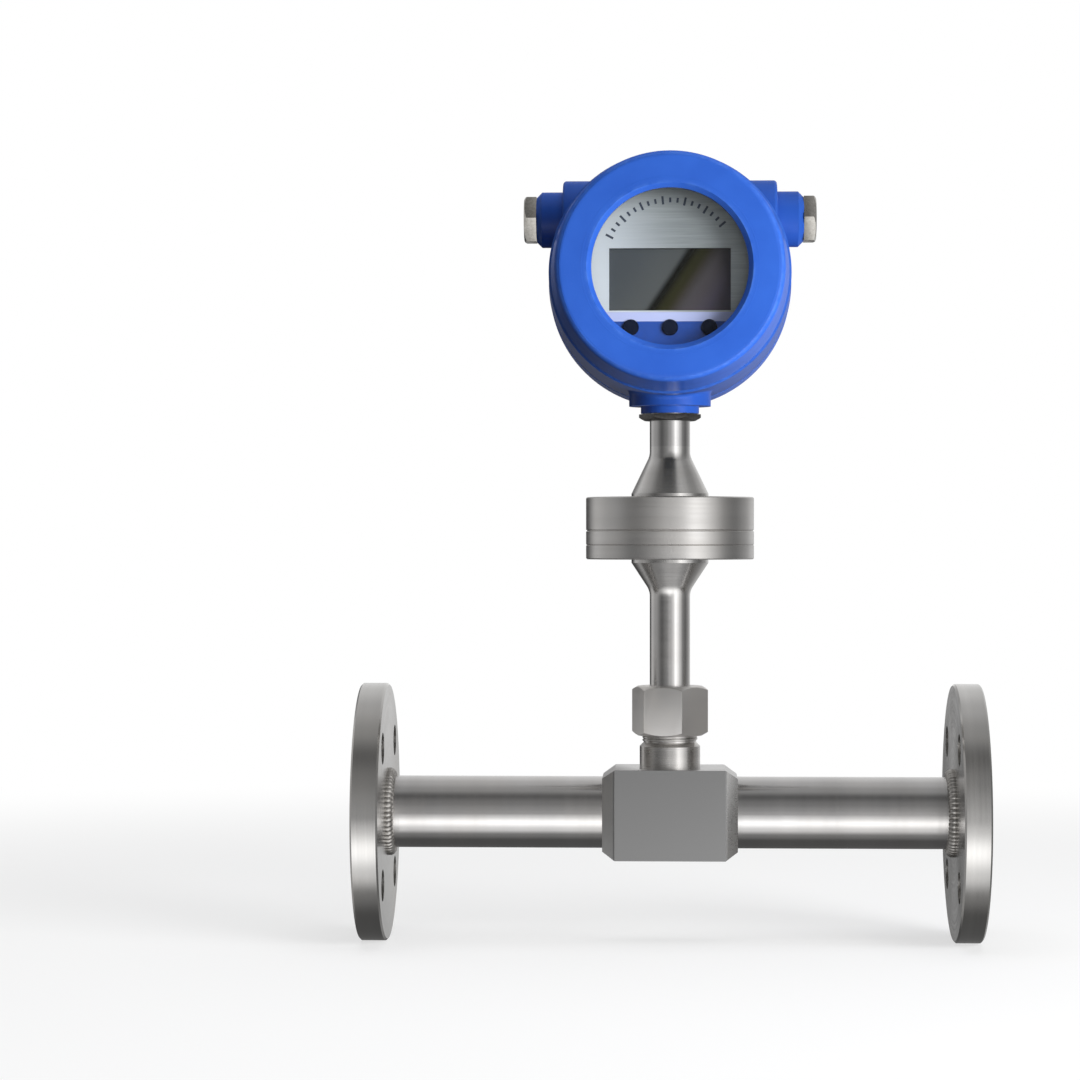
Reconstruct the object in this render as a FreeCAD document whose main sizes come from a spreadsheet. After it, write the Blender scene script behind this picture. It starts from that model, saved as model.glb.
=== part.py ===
import FreeCAD, Part
import Sketcher
import os
import re

# Thermal mass flow meter, inline type, in millimetres.
# The origin is the centre of the inlet flange's sealing face. +X is the flow, +Z is up,
# and the display looks along -Y. The stem and the head stand over the middle of the pipe run.

DIMENSIONS = [
    # pipe run
    ("face_to_face", "280", "between the two sealing faces"),
    ("flange_od", "115", "flange outside diameter"),
    ("flange_plate", "12", "flange thickness without the raised face"),
    ("flange_edge", "0.8", "chamfer on the flange rim"),
    ("raised_face_inset", "8.5", "sealing face edge inside the bolt circle"),
    ("raised_face_rise", "2", "sealing face height"),
    ("bolt_edge", "15", "bolt circle inside the flange rim"),
    ("bolt_hole_d", "14", "flange bolt hole diameter"),
    ("pipe_od", "32", "pipe outside diameter"),
    ("pipe_wall", "3", "pipe wall"),
    ("pipe_flange_gap", "0.5", "radial gap of the pipe in the flange"),
    ("pipe_setback", "5", "pipe end behind the sealing face"),
    ("flange_weld_leg", "3.5", "leg of the outer flange weld"),
    ("inner_weld_leg", "2.6", "leg of the weld inside the flange"),
    # sensor block and compression fitting
    ("block_length", "60", "block along the pipe"),
    ("block_wall", "4", "block over the pipe on each side"),
    ("bevel_run", "5.5", "length of the end bevels along the pipe"),
    ("bevel_drop", "3.8", "how far the end bevels cut in"),
    ("stub_shoulder", "1", "fitting body over its thread"),
    ("stub_height", "14.5", "fitting body between block and nut"),
    ("stub_spigot_wall", "3", "spigot in the block, over the stem"),
    ("stub_spigot_depth", "6", "depth of that spigot"),
    ("stub_thread_wall", "3.5", "thread under the nut, over the stem"),
    ("stub_thread_length", "11", "thread inside the nut"),
    ("stub_relief_length", "3", "plain relief below the nut"),
    ("stub_relief_drop", "0.8", "depth of that relief below the thread"),
    ("mouth_depth", "5", "conical mouth for the front ferrule"),
    ("mouth_flare", "2.05", "how far the mouth widens"),
    ("front_ferrule_height", "6.5", "front ferrule"),
    ("ferrule_nose", "1", "ferrule nose above the foot of the mouth"),
    ("back_ferrule_height", "3", "back ferrule"),
    ("back_ferrule_wall", "2.6", "back ferrule wall"),
    ("ferrule_seat", "1.5", "cone at the top of the back ferrule"),
    ("nut_wall", "2.5", "compression nut flats over the thread"),
    ("nut_height", "22", "compression nut height"),
    ("nut_turn", "12", "nut turned away from square, degrees"),
    ("nut_corner", "0.6", "nut end circle inside the flats"),
    ("thread_gap", "0.08", "radial gap of the threads"),
    # probe
    ("probe_od", "18", "stem tube diameter"),
    ("probe_wall", "1.5", "stem tube wall"),
    ("probe_slide_gap", "0.15", "radial gap of the probe in the fitting"),
    ("probe_end_height", "6", "lower tube end above the pipe axis"),
    ("cone_foot_height", "99", "foot of the lower cone above the pipe axis"),
    ("tip_thick", "4", "sensor tip below the tube"),
    ("tip_spigot", "5", "sensor tip inside the tube"),
    ("pin_d", "3", "sensor pin diameter"),
    ("pin_length", "11", "sensor pin below the tip"),
    ("pin_seat", "3", "sensor pin inside the tip"),
    ("pin_flat", "0.1", "flat left on the rounded pin end"),
    ("pin_spacing", "8", "between the two pins"),
    ("lead_d", "1.6", "sensor lead diameter"),
    ("lead_offset", "1.4", "lead centre from the stem axis, each way"),
    # neck flanges
    ("neck_spigot", "4", "plain end of the neck flanges, welded to the stem"),
    ("lower_cone_height", "12.5", "cone under the lower disc"),
    ("upper_cone_height", "17", "cone over the upper disc"),
    ("hub_wall", "8.2", "foot of the cones over the stem"),
    ("hub_height", "1.6", "plain hub between cone and disc"),
    ("cone_blend", "8", "blend between cone and stem"),
    ("disc_od", "75", "neck disc diameter"),
    ("lower_disc_thick", "12.8", "lower disc"),
    ("upper_disc_thick", "14.9", "upper disc"),
    ("disc_edge", "0.5", "chamfer on the disc rims"),
    ("disc_line_depth", "0.35", "turned line round the lower disc"),
    ("disc_line_width", "0.7", "width of that line"),
    ("neck_screw_edge", "8.5", "neck screw circle inside the disc rim"),
    ("neck_screw_d", "5", "neck screw shank"),
    ("neck_screw_gap", "0.25", "radial gap round the shank"),
    ("neck_screw_grip", "8", "screw thread in the lower disc"),
    ("neck_head_d", "8.5", "screw head diameter"),
    ("neck_head_height", "5", "screw head height"),
    ("neck_head_gap", "0.4", "radial gap round the head"),
    ("neck_head_sink", "0.5", "screw head below the disc face"),
    ("neck_key_flats", "4", "hexagon socket across flats"),
    ("neck_key_depth", "2.6", "hexagon socket depth"),
    ("seal_inset", "9", "neck O-ring inside the screw circle"),
    ("seal_width", "2.8", "neck O-ring width when squeezed"),
    ("seal_groove_depth", "2", "neck O-ring groove depth"),
    ("seal_groove_slack", "0.3", "free width each side of the O-ring"),
    # neck tube and swivel
    ("neck_clear", "15.5", "stem between the upper cone and the lock nut"),
    ("lock_nut_flats", "24", "lock nut across flats"),
    ("lock_nut_height", "3", "lock nut height"),
    ("swivel_gap", "0.3", "between lock nut and head"),
    ("swivel_clearance", "0.05", "radial clearance of the stem in the head"),
    ("stem_proud", "1.5", "stem end inside the chamber"),
    # housing
    ("boss_reach", "5.8", "bottom boss below the drum"),
    ("boss_d", "36.5", "bottom boss diameter"),
    ("boss_step_d", "26", "lower step of the bottom boss"),
    ("boss_step_height", "3.2", "height of that step"),
    ("drum_front", "27", "front shoulder before the stem axis"),
    ("drum_rear", "31", "rear shoulder behind the stem axis"),
    ("front_shoulder", "1", "front shoulder over the front cover"),
    ("rear_shoulder", "0.2", "rear shoulder inside the rear cover"),
    ("drum_edge", "1", "chamfer on the drum shoulders"),
    ("front_thread_d", "95", "front cover thread"),
    ("front_neck", "16", "length of the front threaded neck"),
    ("rear_thread_step", "2.5", "rear cover thread over the front one, radial"),
    ("rear_neck", "15", "length of the rear threaded neck"),
    ("neck_wall", "4", "wall of the threaded necks"),
    ("ledge_front", "9", "front of the inner ledge before the stem axis"),
    ("ledge_thick", "4", "inner ledge thickness"),
    ("ledge_lip", "6.5", "inner ledge inside the board posts"),
    ("casting_round", "2", "rounding where the bottom boss meets the drum"),
    # cable entries
    ("cable_drop", "28.3", "cable axis below the drum's top"),
    ("cable_boss_edge", "1.5", "cable boss before the rear shoulder"),
    ("cable_boss_step", "5", "cable boss over its neck"),
    ("cable_boss_inset", "7.2", "cable boss end inside the drum's radius"),
    ("cable_boss_round", "1.5", "rounding of the cable boss rim"),
    ("cable_neck_wall", "4.5", "outer neck of the cable boss over the gland"),
    ("cable_neck_length", "12", "length of that neck"),
    ("cable_neck_cone", "2.5", "cone at the end of the neck"),
    ("gland_seat", "1", "step from the gland pocket to the cable hole"),
    ("gland_thread_d", "16", "gland pocket diameter"),
    ("gland_pocket", "12", "gland pocket depth"),
    ("gland_nut_lap", "2", "gland nut flats over the pocket"),
    ("gland_nut_proud", "5.6", "gland nut outside the boss"),
    ("gland_nut_shank", "5", "gland nut inside the boss"),
    ("gland_nut_bore_d", "10", "hole through nut and washer"),
    ("gland_washer_thick", "1", "gland washer"),
    ("gland_seal_bore_d", "8.4", "hole through the rubber seal"),
    # front cover and window
    ("display_clear", "1", "between the display screws and the cover"),
    ("cover_taper", "2.9", "front cover narrower at its face"),
    ("skirt_wall", "4.8", "front cover skirt over its thread"),
    ("cover_gap", "0.8", "between cover skirt and shoulder"),
    ("cover_edge_r", "3", "rounding of the cover face"),
    ("window_frame", "15.6", "cover face round the window"),
    ("window_lip", "4", "cover thickness at the window"),
    ("window_bevel", "2", "bevel round the window"),
    ("glass_lap", "4.2", "window glass behind the frame"),
    ("glass_thick", "5", "window glass thickness"),
    ("glass_gap", "0.2", "radial gap round the glass"),
    ("gasket_thick", "1", "window gasket"),
    ("ring_thick", "3", "glass retaining ring"),
    ("ring_lap", "0.7", "retaining ring bore outside the window"),
    ("ring_seat_spare", "0.5", "glass pocket past the ring"),
    ("cover_seal_d", "2", "cover O-ring section"),
    ("cover_seal_gap", "0.05", "radial gap on each side of the cover O-ring"),
    ("cover_seal_recess", "3.2", "depth of the O-ring recess in the skirt"),
    # rear cover
    ("rear_room", "10", "between the rear neck and the cover floor"),
    ("rear_skirt_wall", "5.4", "rear cover skirt over its thread"),
    ("rear_flare", "0.6", "rear cover wider at its face"),
    ("rear_cover_edge_r", "4.5", "rounding of the rear cover face"),
    ("rear_floor", "6", "rear cover thickness"),
    ("rear_rim", "21", "flat rim round the shallow dish"),
    ("rear_dish_depth", "1.8", "depth of that dish"),
    ("rear_dish_bevel", "1.4", "bevel round the dish"),
    # boards
    ("board_gap", "1.5", "radial gap round the circuit boards"),
    ("board_thick", "1.6", "circuit board thickness"),
    ("post_edge", "3.5", "board posts inside the board rim"),
    ("post_d", "7", "cast board post diameter"),
    ("front_post", "5", "cast posts before the ledge"),
    ("rear_post", "8.5", "cast posts behind the ledge"),
    ("post_hole_d", "3", "screw hole in the posts"),
    ("board_hole_d", "3.3", "screw hole in the boards"),
    ("standoff_d", "6", "display standoff diameter"),
    ("standoff_length", "20", "between main board and display board"),
    ("standoff_stud", "4.5", "standoff stud past the main board"),
    ("spacer_length", "5", "between display board and faceplate"),
    ("screw_head_d", "5.5", "small screw head diameter"),
    ("screw_head_height", "1.8", "small screw head height"),
    ("screw_grip", "6", "small screw past its seat"),
    ("socket_width", "14", "sensor socket width"),
    ("socket_height", "8", "sensor socket height"),
    ("socket_margin", "2", "sensor socket above the ledge opening"),
    ("socket_rear", "2.5", "sensor socket behind the stem axis"),
    ("lead_gap", "0.3", "between the leads and their socket"),
    # display
    ("faceplate_gap", "1", "radial gap round the faceplate"),
    ("faceplate_thick", "1.5", "faceplate thickness"),
    ("lcd_side", "7.5", "visible display inside the window, at the sides"),
    ("lcd_end", "20.3", "visible display inside the window, above and below its centre"),
    ("lcd_drop", "4.7", "display centre below the head axis"),
    ("lcd_border", "2.5", "display frame behind the faceplate"),
    ("lcd_gap", "0.3", "between display and faceplate"),
    ("key_d", "6.5", "key diameter"),
    ("key_side", "9.3", "outer keys inside the display's side edges"),
    ("key_margin", "8.3", "keys above the lowest point of the window"),
    ("key_proud", "1.2", "key before the faceplate"),
    ("key_gap", "0.3", "free space round a key"),
    ("key_collar_d", "8.4", "collar behind the faceplate"),
    ("key_collar_thick", "0.6", "thickness of that collar"),
    ("switch_size", "6", "key switch width"),
    ("switch_depth", "3.2", "key switch depth"),
    # terminals
    ("terminal_width", "52", "terminal block width"),
    ("terminal_height", "20", "terminal block height"),
    ("terminal_depth", "15", "terminal block depth"),
    ("terminal_drop", "3", "terminal block centre below the head axis"),
    ("terminal_pitch", "8", "between neighbouring terminals"),
    ("terminal_well_d", "5", "screw well diameter"),
    ("terminal_well_depth", "8", "screw well depth"),
    ("terminal_screw_d", "4.6", "terminal screw diameter"),
    ("terminal_screw_length", "4", "terminal screw length"),
    ("terminal_slot", "0.8", "slot in the terminal screws"),
    ("wire_entry", "5", "wire entry width"),
    ("wire_entry_depth", "6", "wire entry depth"),
    # grub screw in the bottom boss
    ("set_screw_d", "3", "grub screw diameter"),
    ("set_screw_rise", "5", "grub screw above the lower boss face"),
    ("set_screw_tip", "0.3", "grub screw tip off the stem"),
    ("set_screw_sink", "0.6", "grub screw below the boss surface"),
    # how far a cut starts outside the metal
    ("cut_over", "1", "overrun of the cuts"),
]

FLANGE_HOLES = 4
NECK_SCREWS = 6
POSTS = 3
TERMINALS = 6

NAMES = {name for name, value, note in DIMENSIONS}

doc = FreeCAD.newDocument("thermal_mass_flow_meter")
sheet = doc.addObject("Spreadsheet::Sheet", "Dims")
for row, (name, value, note) in enumerate(DIMENSIONS, start=1):
    sheet.set(f"A{row}", name)
    sheet.set(f"B{row}", value)
    sheet.setAlias(f"B{row}", name)
    sheet.set(f"C{row}", note)
doc.recompute()

subparts = []


def size(rule):
    return float(sheet.evalExpression(rule))


def bound(rule):
    return re.sub(r"[a-z]\w*", lambda word: f"Dims.{word[0]}" if word[0] in NAMES else word[0], rule)


def bind(thing, prop, rule):
    thing.setExpression(prop, bound(rule))


# Pipe run and stem radii
STEM_X = "face_to_face / 2"
FLANGE_R = "flange_od / 2"
BOLT_R = f"({FLANGE_R} - bolt_edge)"
RAISED_FACE_R = f"({BOLT_R} - raised_face_inset)"
PIPE_R = "pipe_od / 2"
PIPE_BORE = "(pipe_od / 2 - pipe_wall)"
FLANGE_BACK = "(raised_face_rise + flange_plate)"
FLANGE_BORE = "(pipe_od / 2 + pipe_flange_gap)"
BLOCK_HALF = "(pipe_od / 2 + block_wall)"
PROBE_R = "probe_od / 2"
PROBE_HOLE = "(probe_od / 2 + probe_slide_gap)"
PROBE_BORE = "(probe_od / 2 - probe_wall)"
STUB_THREAD_R = "(probe_od / 2 + stub_thread_wall)"
STUB_R = f"({STUB_THREAD_R} + stub_shoulder)"
SPIGOT_R = "(probe_od / 2 + stub_spigot_wall)"
NUT_FLATS = f"(2 * ({STUB_THREAD_R} + nut_wall))"
DISC_R = "disc_od / 2"
HUB_R = "(probe_od / 2 + hub_wall)"
NECK_SCREW_R = f"({DISC_R} - neck_screw_edge)"
SEAL_R = f"({NECK_SCREW_R} - seal_inset)"

# Radii about the head axis
FRONT_THREAD_R = "front_thread_d / 2"
REAR_THREAD_R = "(front_thread_d / 2 + rear_thread_step)"
SKIRT_R = f"({FRONT_THREAD_R} + skirt_wall)"
COVER_FACE_R = f"({SKIRT_R} - cover_taper)"
DRUM_FRONT_R = f"({SKIRT_R} + front_shoulder)"
REAR_SKIRT_R = f"({REAR_THREAD_R} + rear_skirt_wall)"
REAR_FACE_R = f"({REAR_SKIRT_R} + rear_flare)"
DRUM_REAR_R = f"({REAR_SKIRT_R} - rear_shoulder)"
FRONT_CAVITY_R = f"({FRONT_THREAD_R} - neck_wall)"
REAR_CAVITY_R = f"({REAR_THREAD_R} - neck_wall)"
BOARD_R = f"({FRONT_CAVITY_R} - board_gap)"
POST_R = f"({BOARD_R} - post_edge)"
LEDGE_R = f"({POST_R} - ledge_lip)"
WINDOW_R = f"({COVER_FACE_R} - window_frame)"
GLASS_R = f"({WINDOW_R} + glass_lap)"
GLASS_POCKET_R = f"({GLASS_R} + glass_gap)"
LCD_HALF_WIDTH = f"({WINDOW_R} - lcd_side)"
LCD_HALF_HEIGHT = f"({WINDOW_R} - lcd_end)"
KEY_DROP = f"({WINDOW_R} - key_margin)"
KEY_STEP = f"({LCD_HALF_WIDTH} - key_side)"
SOCKET_FOOT = f"({LEDGE_R} - socket_margin)"
HEAD_DROP = f"({DRUM_REAR_R} + boss_reach)"
GLAND_R = "gland_thread_d / 2"
CABLE_NECK_R = f"({GLAND_R} + cable_neck_wall)"
CABLE_BOSS_R = f"({CABLE_NECK_R} + cable_boss_step)"
CABLE_HEIGHT = f"({DRUM_REAR_R} - cable_drop)"
CABLE_BACK = f"(drum_rear - {CABLE_BOSS_R} - cable_boss_edge)"
CABLE_BOSS_END = f"({DRUM_REAR_R} - cable_boss_inset)"
CABLE_NECK_END = f"({CABLE_BOSS_END} + cable_neck_length)"

# Heights up the stem, from the pipe axis
NUT_FOOT = f"{BLOCK_HALF} + stub_height"
NUT_TOP = f"{NUT_FOOT} + nut_height"
STUB_TOP = f"{NUT_FOOT} + stub_thread_length"
MOUTH_FOOT = f"{STUB_TOP} - mouth_depth"
FRONT_FERRULE_TOP = f"{MOUTH_FOOT} + ferrule_nose + front_ferrule_height"
BACK_FERRULE_TOP = f"{FRONT_FERRULE_TOP} + back_ferrule_height"
PROBE_TOP = "cone_foot_height - neck_spigot"
LOWER_HUB = "cone_foot_height + lower_cone_height"
LOWER_DISC = f"{LOWER_HUB} + hub_height"
DISC_JOINT = f"{LOWER_DISC} + lower_disc_thick"
UPPER_DISC_TOP = f"{DISC_JOINT} + upper_disc_thick"
UPPER_CONE = f"{UPPER_DISC_TOP} + hub_height"
UPPER_CONE_TOP = f"{UPPER_CONE} + upper_cone_height"
NECK_TUBE_FOOT = f"{UPPER_CONE_TOP} + neck_spigot"
LOCK_NUT_FOOT = f"{UPPER_CONE_TOP} + neck_clear"
BOSS_FOOT = f"{LOCK_NUT_FOOT} + lock_nut_height + swivel_gap"
HEAD_Z = f"({BOSS_FOOT} + {HEAD_DROP})"
STEM_END = f"(stem_proud - {REAR_CAVITY_R})"

# Stations along the head axis, from the stem axis
FRONT_NECK_END = "-(drum_front + front_neck)"
REAR_NECK_END = "(drum_rear + rear_neck)"
LEDGE_BACK = "-(ledge_front - ledge_thick)"
MAIN_BOARD_REAR = "-(ledge_front + front_post)"
MAIN_BOARD_FRONT = f"({MAIN_BOARD_REAR} - board_thick)"
DISPLAY_BOARD_REAR = f"({MAIN_BOARD_FRONT} - standoff_length)"
DISPLAY_BOARD_FRONT = f"({DISPLAY_BOARD_REAR} - board_thick)"
FACEPLATE_REAR = f"({DISPLAY_BOARD_FRONT} - spacer_length)"
FACEPLATE_FRONT = f"({FACEPLATE_REAR} - faceplate_thick)"
GLASS_POCKET_END = f"({FACEPLATE_FRONT} - screw_head_height - display_clear)"
RING_REAR = f"({GLASS_POCKET_END} - ring_seat_spare)"
GLASS_REAR = f"({RING_REAR} - ring_thick)"
GLASS_FRONT = f"({GLASS_REAR} - glass_thick)"
LIP_BACK = f"({GLASS_FRONT} - gasket_thick)"
FRONT_FACE = f"({LIP_BACK} - window_lip)"
SKIRT_END = "-(drum_front + cover_gap)"
TERMINAL_BOARD_FRONT = f"({LEDGE_BACK} + rear_post)"
TERMINAL_BOARD_REAR = f"({TERMINAL_BOARD_FRONT} + board_thick)"
TERMINAL_REAR = f"({TERMINAL_BOARD_REAR} + terminal_depth)"
REAR_SKIRT_END = "(drum_rear + cover_gap)"
REAR_FLOOR = f"({REAR_NECK_END} + rear_room)"
REAR_FACE = f"({REAR_FLOOR} + rear_floor)"

# The plane of a turned profile, its axis in the sketch, and whether the length runs across the sketch
TURNING = {
    "X": ("XZ_Plane", "H_Axis", True),
    "Y": ("XY_Plane", "V_Axis", False),
    "Z": ("XZ_Plane", "V_Axis", False),
}


def new_body(label, x="0", y="0", z="0", half_turn=False):
    body = doc.addObject("PartDesign::Body", label)
    body.Label = label
    if half_turn:
        body.Placement = FreeCAD.Placement(FreeCAD.Vector(), FreeCAD.Rotation(FreeCAD.Vector(0, 0, 1), 180))
    for axis, rule in zip("xyz", (x, y, z)):
        bind(body, f"Placement.Base.{axis}", rule)
    subparts.append(body)
    return body


def pipe_body(label, far_end=False):
    # A piece of the pipe run. At the far end it is turned round to face the other way.
    return new_body(label, x="face_to_face" if far_end else "0", half_turn=far_end)


def stem_body(label):
    return new_body(label, x=STEM_X)


def head_body(label):
    return new_body(label, x=STEM_X, z=HEAD_Z)


def origin_feature(body, role):
    return next(feature for feature in body.Origin.OriginFeatures if feature.Role == role)


def new_sketch(body, plane, shift=("0", "0", "0")):
    sketch = body.newObject("Sketcher::SketchObject", f"{body.Name}_sketch")
    sketch.AttachmentSupport = (origin_feature(body, plane), [""])
    sketch.MapMode = "FlatFace"
    for axis, rule in zip("xyz", shift):
        if rule != "0":
            bind(sketch, f"AttachmentOffset.Base.{axis}", rule)
    return sketch


def pin_point(sketch, geometry, point, across, up):
    # Ties one point of the sketch to its two rules.
    for kind, rule, axis in (("DistanceX", across, -2), ("DistanceY", up, -1)):
        if abs(size(rule)) < 1e-9:
            sketch.addConstraint(Sketcher.Constraint("PointOnObject", geometry, point, axis))
        else:
            tie = Sketcher.Constraint(kind, -1, 1, geometry, point, size(rule))
            index = sketch.addConstraint(tie)
            bind(sketch, f"Constraints[{index}]", rule)


def draw_loop(sketch, corners):
    first = sketch.GeometryCount
    count = len(corners)
    points = [FreeCAD.Vector(size(across), size(up), 0) for across, up in corners]
    for i in range(count):
        sketch.addGeometry(Part.LineSegment(points[i], points[(i + 1) % count]))
    for i in range(count):
        sketch.addConstraint(Sketcher.Constraint("Coincident", first + i, 2, first + (i + 1) % count, 1))
    for i, (across, up) in enumerate(corners):
        pin_point(sketch, first + i, 1, across, up)


def draw_circle(sketch, across, up, radius):
    centre = FreeCAD.Vector(size(across), size(up), 0)
    index = sketch.addGeometry(Part.Circle(centre, FreeCAD.Vector(0, 0, 1), size(radius)))
    pin_point(sketch, index, 3, across, up)
    tie = sketch.addConstraint(Sketcher.Constraint("Radius", index, size(radius)))
    bind(sketch, f"Constraints[{tie}]", radius)


def rectangle(left, low, right, high):
    return [(left, low), (right, low), (right, high), (left, high)]


def hexagon(flats, turn="0"):
    return [
        (f"{flats} / sqrt(3) * cos(({60 * k} + {turn}) * 1 deg)",
         f"{flats} / sqrt(3) * sin(({60 * k} + {turn}) * 1 deg)")
        for k in range(6)
    ]


def spin(body, axis, loops, kind="Revolution", shift=("0", "0", "0")):
    # Turns loops of (radius, length) corners about the axis, to add metal or, as a Groove, to cut it.
    plane, line, length_across = TURNING[axis]
    sketch = new_sketch(body, plane, shift)
    for loop in loops:
        draw_loop(sketch, [(along, r) if length_across else (r, along) for r, along in loop])
    feature = body.newObject(f"PartDesign::{kind}", f"{body.Name}_{kind.lower()}")
    feature.Profile = sketch
    feature.ReferenceAxis = (sketch, [line])
    feature.Angle = 360
    doc.recompute()
    return feature


def extrude(body, sketch, length, kind="Pad", reverse=False, both_ways=False):
    feature = body.newObject(f"PartDesign::{kind}", f"{body.Name}_{kind.lower()}")
    feature.Profile = sketch
    feature.Reversed = reverse
    if both_ways:
        feature.SideType = "Symmetric"
    bind(feature, "Length", length)
    doc.recompute()
    return feature


def repeat_round(body, features, axis, count):
    pattern = body.newObject("PartDesign::PolarPattern", f"{body.Name}_pattern")
    pattern.Originals = features
    pattern.Axis = (origin_feature(body, f"{axis}_Axis"), [""])
    pattern.Angle = 360
    pattern.Occurrences = count
    body.Tip = pattern
    doc.recompute()
    return pattern


def round_edges(body, radius, wanted):
    # Rounds the edges of the last feature that the test picks.
    base = body.Tip
    names = [f"Edge{i}" for i, edge in enumerate(base.Shape.Edges, start=1) if wanted(edge)]
    fillet = body.newObject("PartDesign::Fillet", f"{body.Name}_fillet")
    fillet.Base = (base, names)
    bind(fillet, "Radius", radius)
    doc.recompute()
    return fillet


def ring_edge(axis, radius, *stations):
    # A test for the circular edges of this radius, at these lengths along the axis.
    place = "XYZ".index(axis)

    def wanted(edge):
        if not isinstance(edge.Curve, Part.Circle) or abs(edge.Curve.Radius - size(radius)) > 1e-4:
            return False
        return any(abs(edge.Curve.Center[place] - size(along)) < 1e-4 for along in stations)

    return wanted


def turned(body, axis, *loops, shift=("0", "0", "0")):
    spin(body, axis, loops, shift=shift)
    return body


def washer_loop(inner, outer, low, high):
    return [(inner, low), (outer, low), (outer, high), (inner, high)]


def make_flange(label, far_end):
    body = pipe_body(label, far_end)
    edge_r = f"{FLANGE_R} - flange_edge"
    turned(body, "X", [
        (FLANGE_BORE, "0"),
        (RAISED_FACE_R, "0"),
        (RAISED_FACE_R, "raised_face_rise"),
        (edge_r, "raised_face_rise"),
        (FLANGE_R, "raised_face_rise + flange_edge"),
        (FLANGE_R, f"{FLANGE_BACK} - flange_edge"),
        (edge_r, FLANGE_BACK),
        (FLANGE_BORE, FLANGE_BACK),
    ])
    hole = new_sketch(body, "YZ_Plane")
    draw_circle(hole, f"{BOLT_R} * cos(45 deg)", f"{BOLT_R} * sin(45 deg)", "bolt_hole_d / 2")
    drilled = extrude(body, hole, f"{FLANGE_BACK} + cut_over", kind="Pocket", reverse=True)
    repeat_round(body, [drilled], "X", FLANGE_HOLES)


def make_pipe(label, far_end):
    pipe_end = f"{STEM_X} - block_length / 2"
    turned(pipe_body(label, far_end), "X", washer_loop(PIPE_BORE, PIPE_R, "pipe_setback", pipe_end))


def make_flange_welds():
    # At each flange, a fillet on the back face and a smaller one on the pipe end.
    loops = []
    for start, sign in (("0", "+"), ("face_to_face", "-")):
        back = f"{start} {sign} {FLANGE_BACK}"
        end = f"{start} {sign} pipe_setback"
        loops.append([
            (PIPE_R, back),
            (f"{PIPE_R} + flange_weld_leg", back),
            (PIPE_R, f"{back} {sign} flange_weld_leg"),
        ])
        loops.append([
            (f"{FLANGE_BORE} - inner_weld_leg", end),
            (FLANGE_BORE, end),
            (FLANGE_BORE, f"{start} {sign} (pipe_setback - inner_weld_leg)"),
        ])
    turned(new_body("flange_welds"), "X", *loops)


def make_sensor_block():
    body = stem_body("sensor_block")
    half, inset = "block_length / 2", "(block_length / 2 - bevel_run)"
    side, low = BLOCK_HALF, f"({BLOCK_HALF} - bevel_drop)"
    outline = new_sketch(body, "XZ_Plane")
    draw_loop(outline, [
        (f"-{half}", f"-{low}"), (f"-{inset}", f"-{side}"), (inset, f"-{side}"), (half, f"-{low}"),
        (half, low), (inset, side), (f"-{inset}", side), (f"-{half}", low),
    ])
    extrude(body, outline, f"2 * {side}", both_ways=True)
    corners = new_sketch(body, "XY_Plane")
    for end in ("", "-"):
        for face in ("", "-"):
            draw_loop(corners, [
                (f"{end}{half}", f"{face}{low}"),
                (f"{end}{half}", f"{face}{side}"),
                (f"{end}{inset}", f"{face}{side}"),
            ])
    extrude(body, corners, f"2 * ({side} + cut_over)", kind="Pocket", both_ways=True)
    through = "(block_length / 2 + cut_over)"
    spin(body, "X", [washer_loop("0", PIPE_BORE, f"-{through}", through)], kind="Groove")
    seat = f"({side} - stub_spigot_depth)"
    above = f"{side} + cut_over"
    spin(body, "Z", [[
        ("0", "0"), (PROBE_HOLE, "0"), (PROBE_HOLE, seat),
        (SPIGOT_R, seat), (SPIGOT_R, above), ("0", above),
    ]], kind="Groove")


def make_probe_stub():
    relief_r = f"({STUB_THREAD_R} - stub_relief_drop)"
    turned(stem_body("probe_stub"), "Z", [
        (PROBE_HOLE, f"{BLOCK_HALF} - stub_spigot_depth"),
        (SPIGOT_R, f"{BLOCK_HALF} - stub_spigot_depth"),
        (SPIGOT_R, BLOCK_HALF),
        (STUB_R, BLOCK_HALF),
        (STUB_R, f"{NUT_FOOT} - stub_relief_length - ({STUB_R} - {relief_r})"),
        (relief_r, f"{NUT_FOOT} - stub_relief_length"),
        (relief_r, NUT_FOOT),
        (STUB_THREAD_R, NUT_FOOT),
        (STUB_THREAD_R, STUB_TOP),
        (f"{PROBE_HOLE} + mouth_flare", STUB_TOP),
        (PROBE_HOLE, MOUTH_FOOT),
    ])


def make_ferrules():
    nose_r = f"{PROBE_HOLE} + mouth_flare * ferrule_nose / mouth_depth"
    wide_r = f"{PROBE_HOLE} + mouth_flare"
    turned(stem_body("front_ferrule"), "Z", [
        (PROBE_R, f"{MOUTH_FOOT} + ferrule_nose"),
        (nose_r, f"{MOUTH_FOOT} + ferrule_nose"),
        (wide_r, STUB_TOP),
        (wide_r, FRONT_FERRULE_TOP),
        (PROBE_R, FRONT_FERRULE_TOP),
    ])
    back_r = f"{PROBE_R} + back_ferrule_wall"
    turned(stem_body("back_ferrule"), "Z", [
        (PROBE_R, FRONT_FERRULE_TOP),
        (back_r, FRONT_FERRULE_TOP),
        (back_r, f"{BACK_FERRULE_TOP} - ferrule_seat"),
        (f"{back_r} - ferrule_seat", BACK_FERRULE_TOP),
        (PROBE_R, BACK_FERRULE_TOP),
    ])


def corner_cut(flats, end, sign):
    # The triangle that a 30 degree turning tool takes off a hexagon's corners at one end.
    inner = f"({flats} / 2 - nut_corner)"
    outer = f"({flats} / sqrt(3) + cut_over)"
    return [(inner, end), (outer, end), (outer, f"{end} {sign} ({outer} - {inner}) * tan(30 deg)")]


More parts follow.
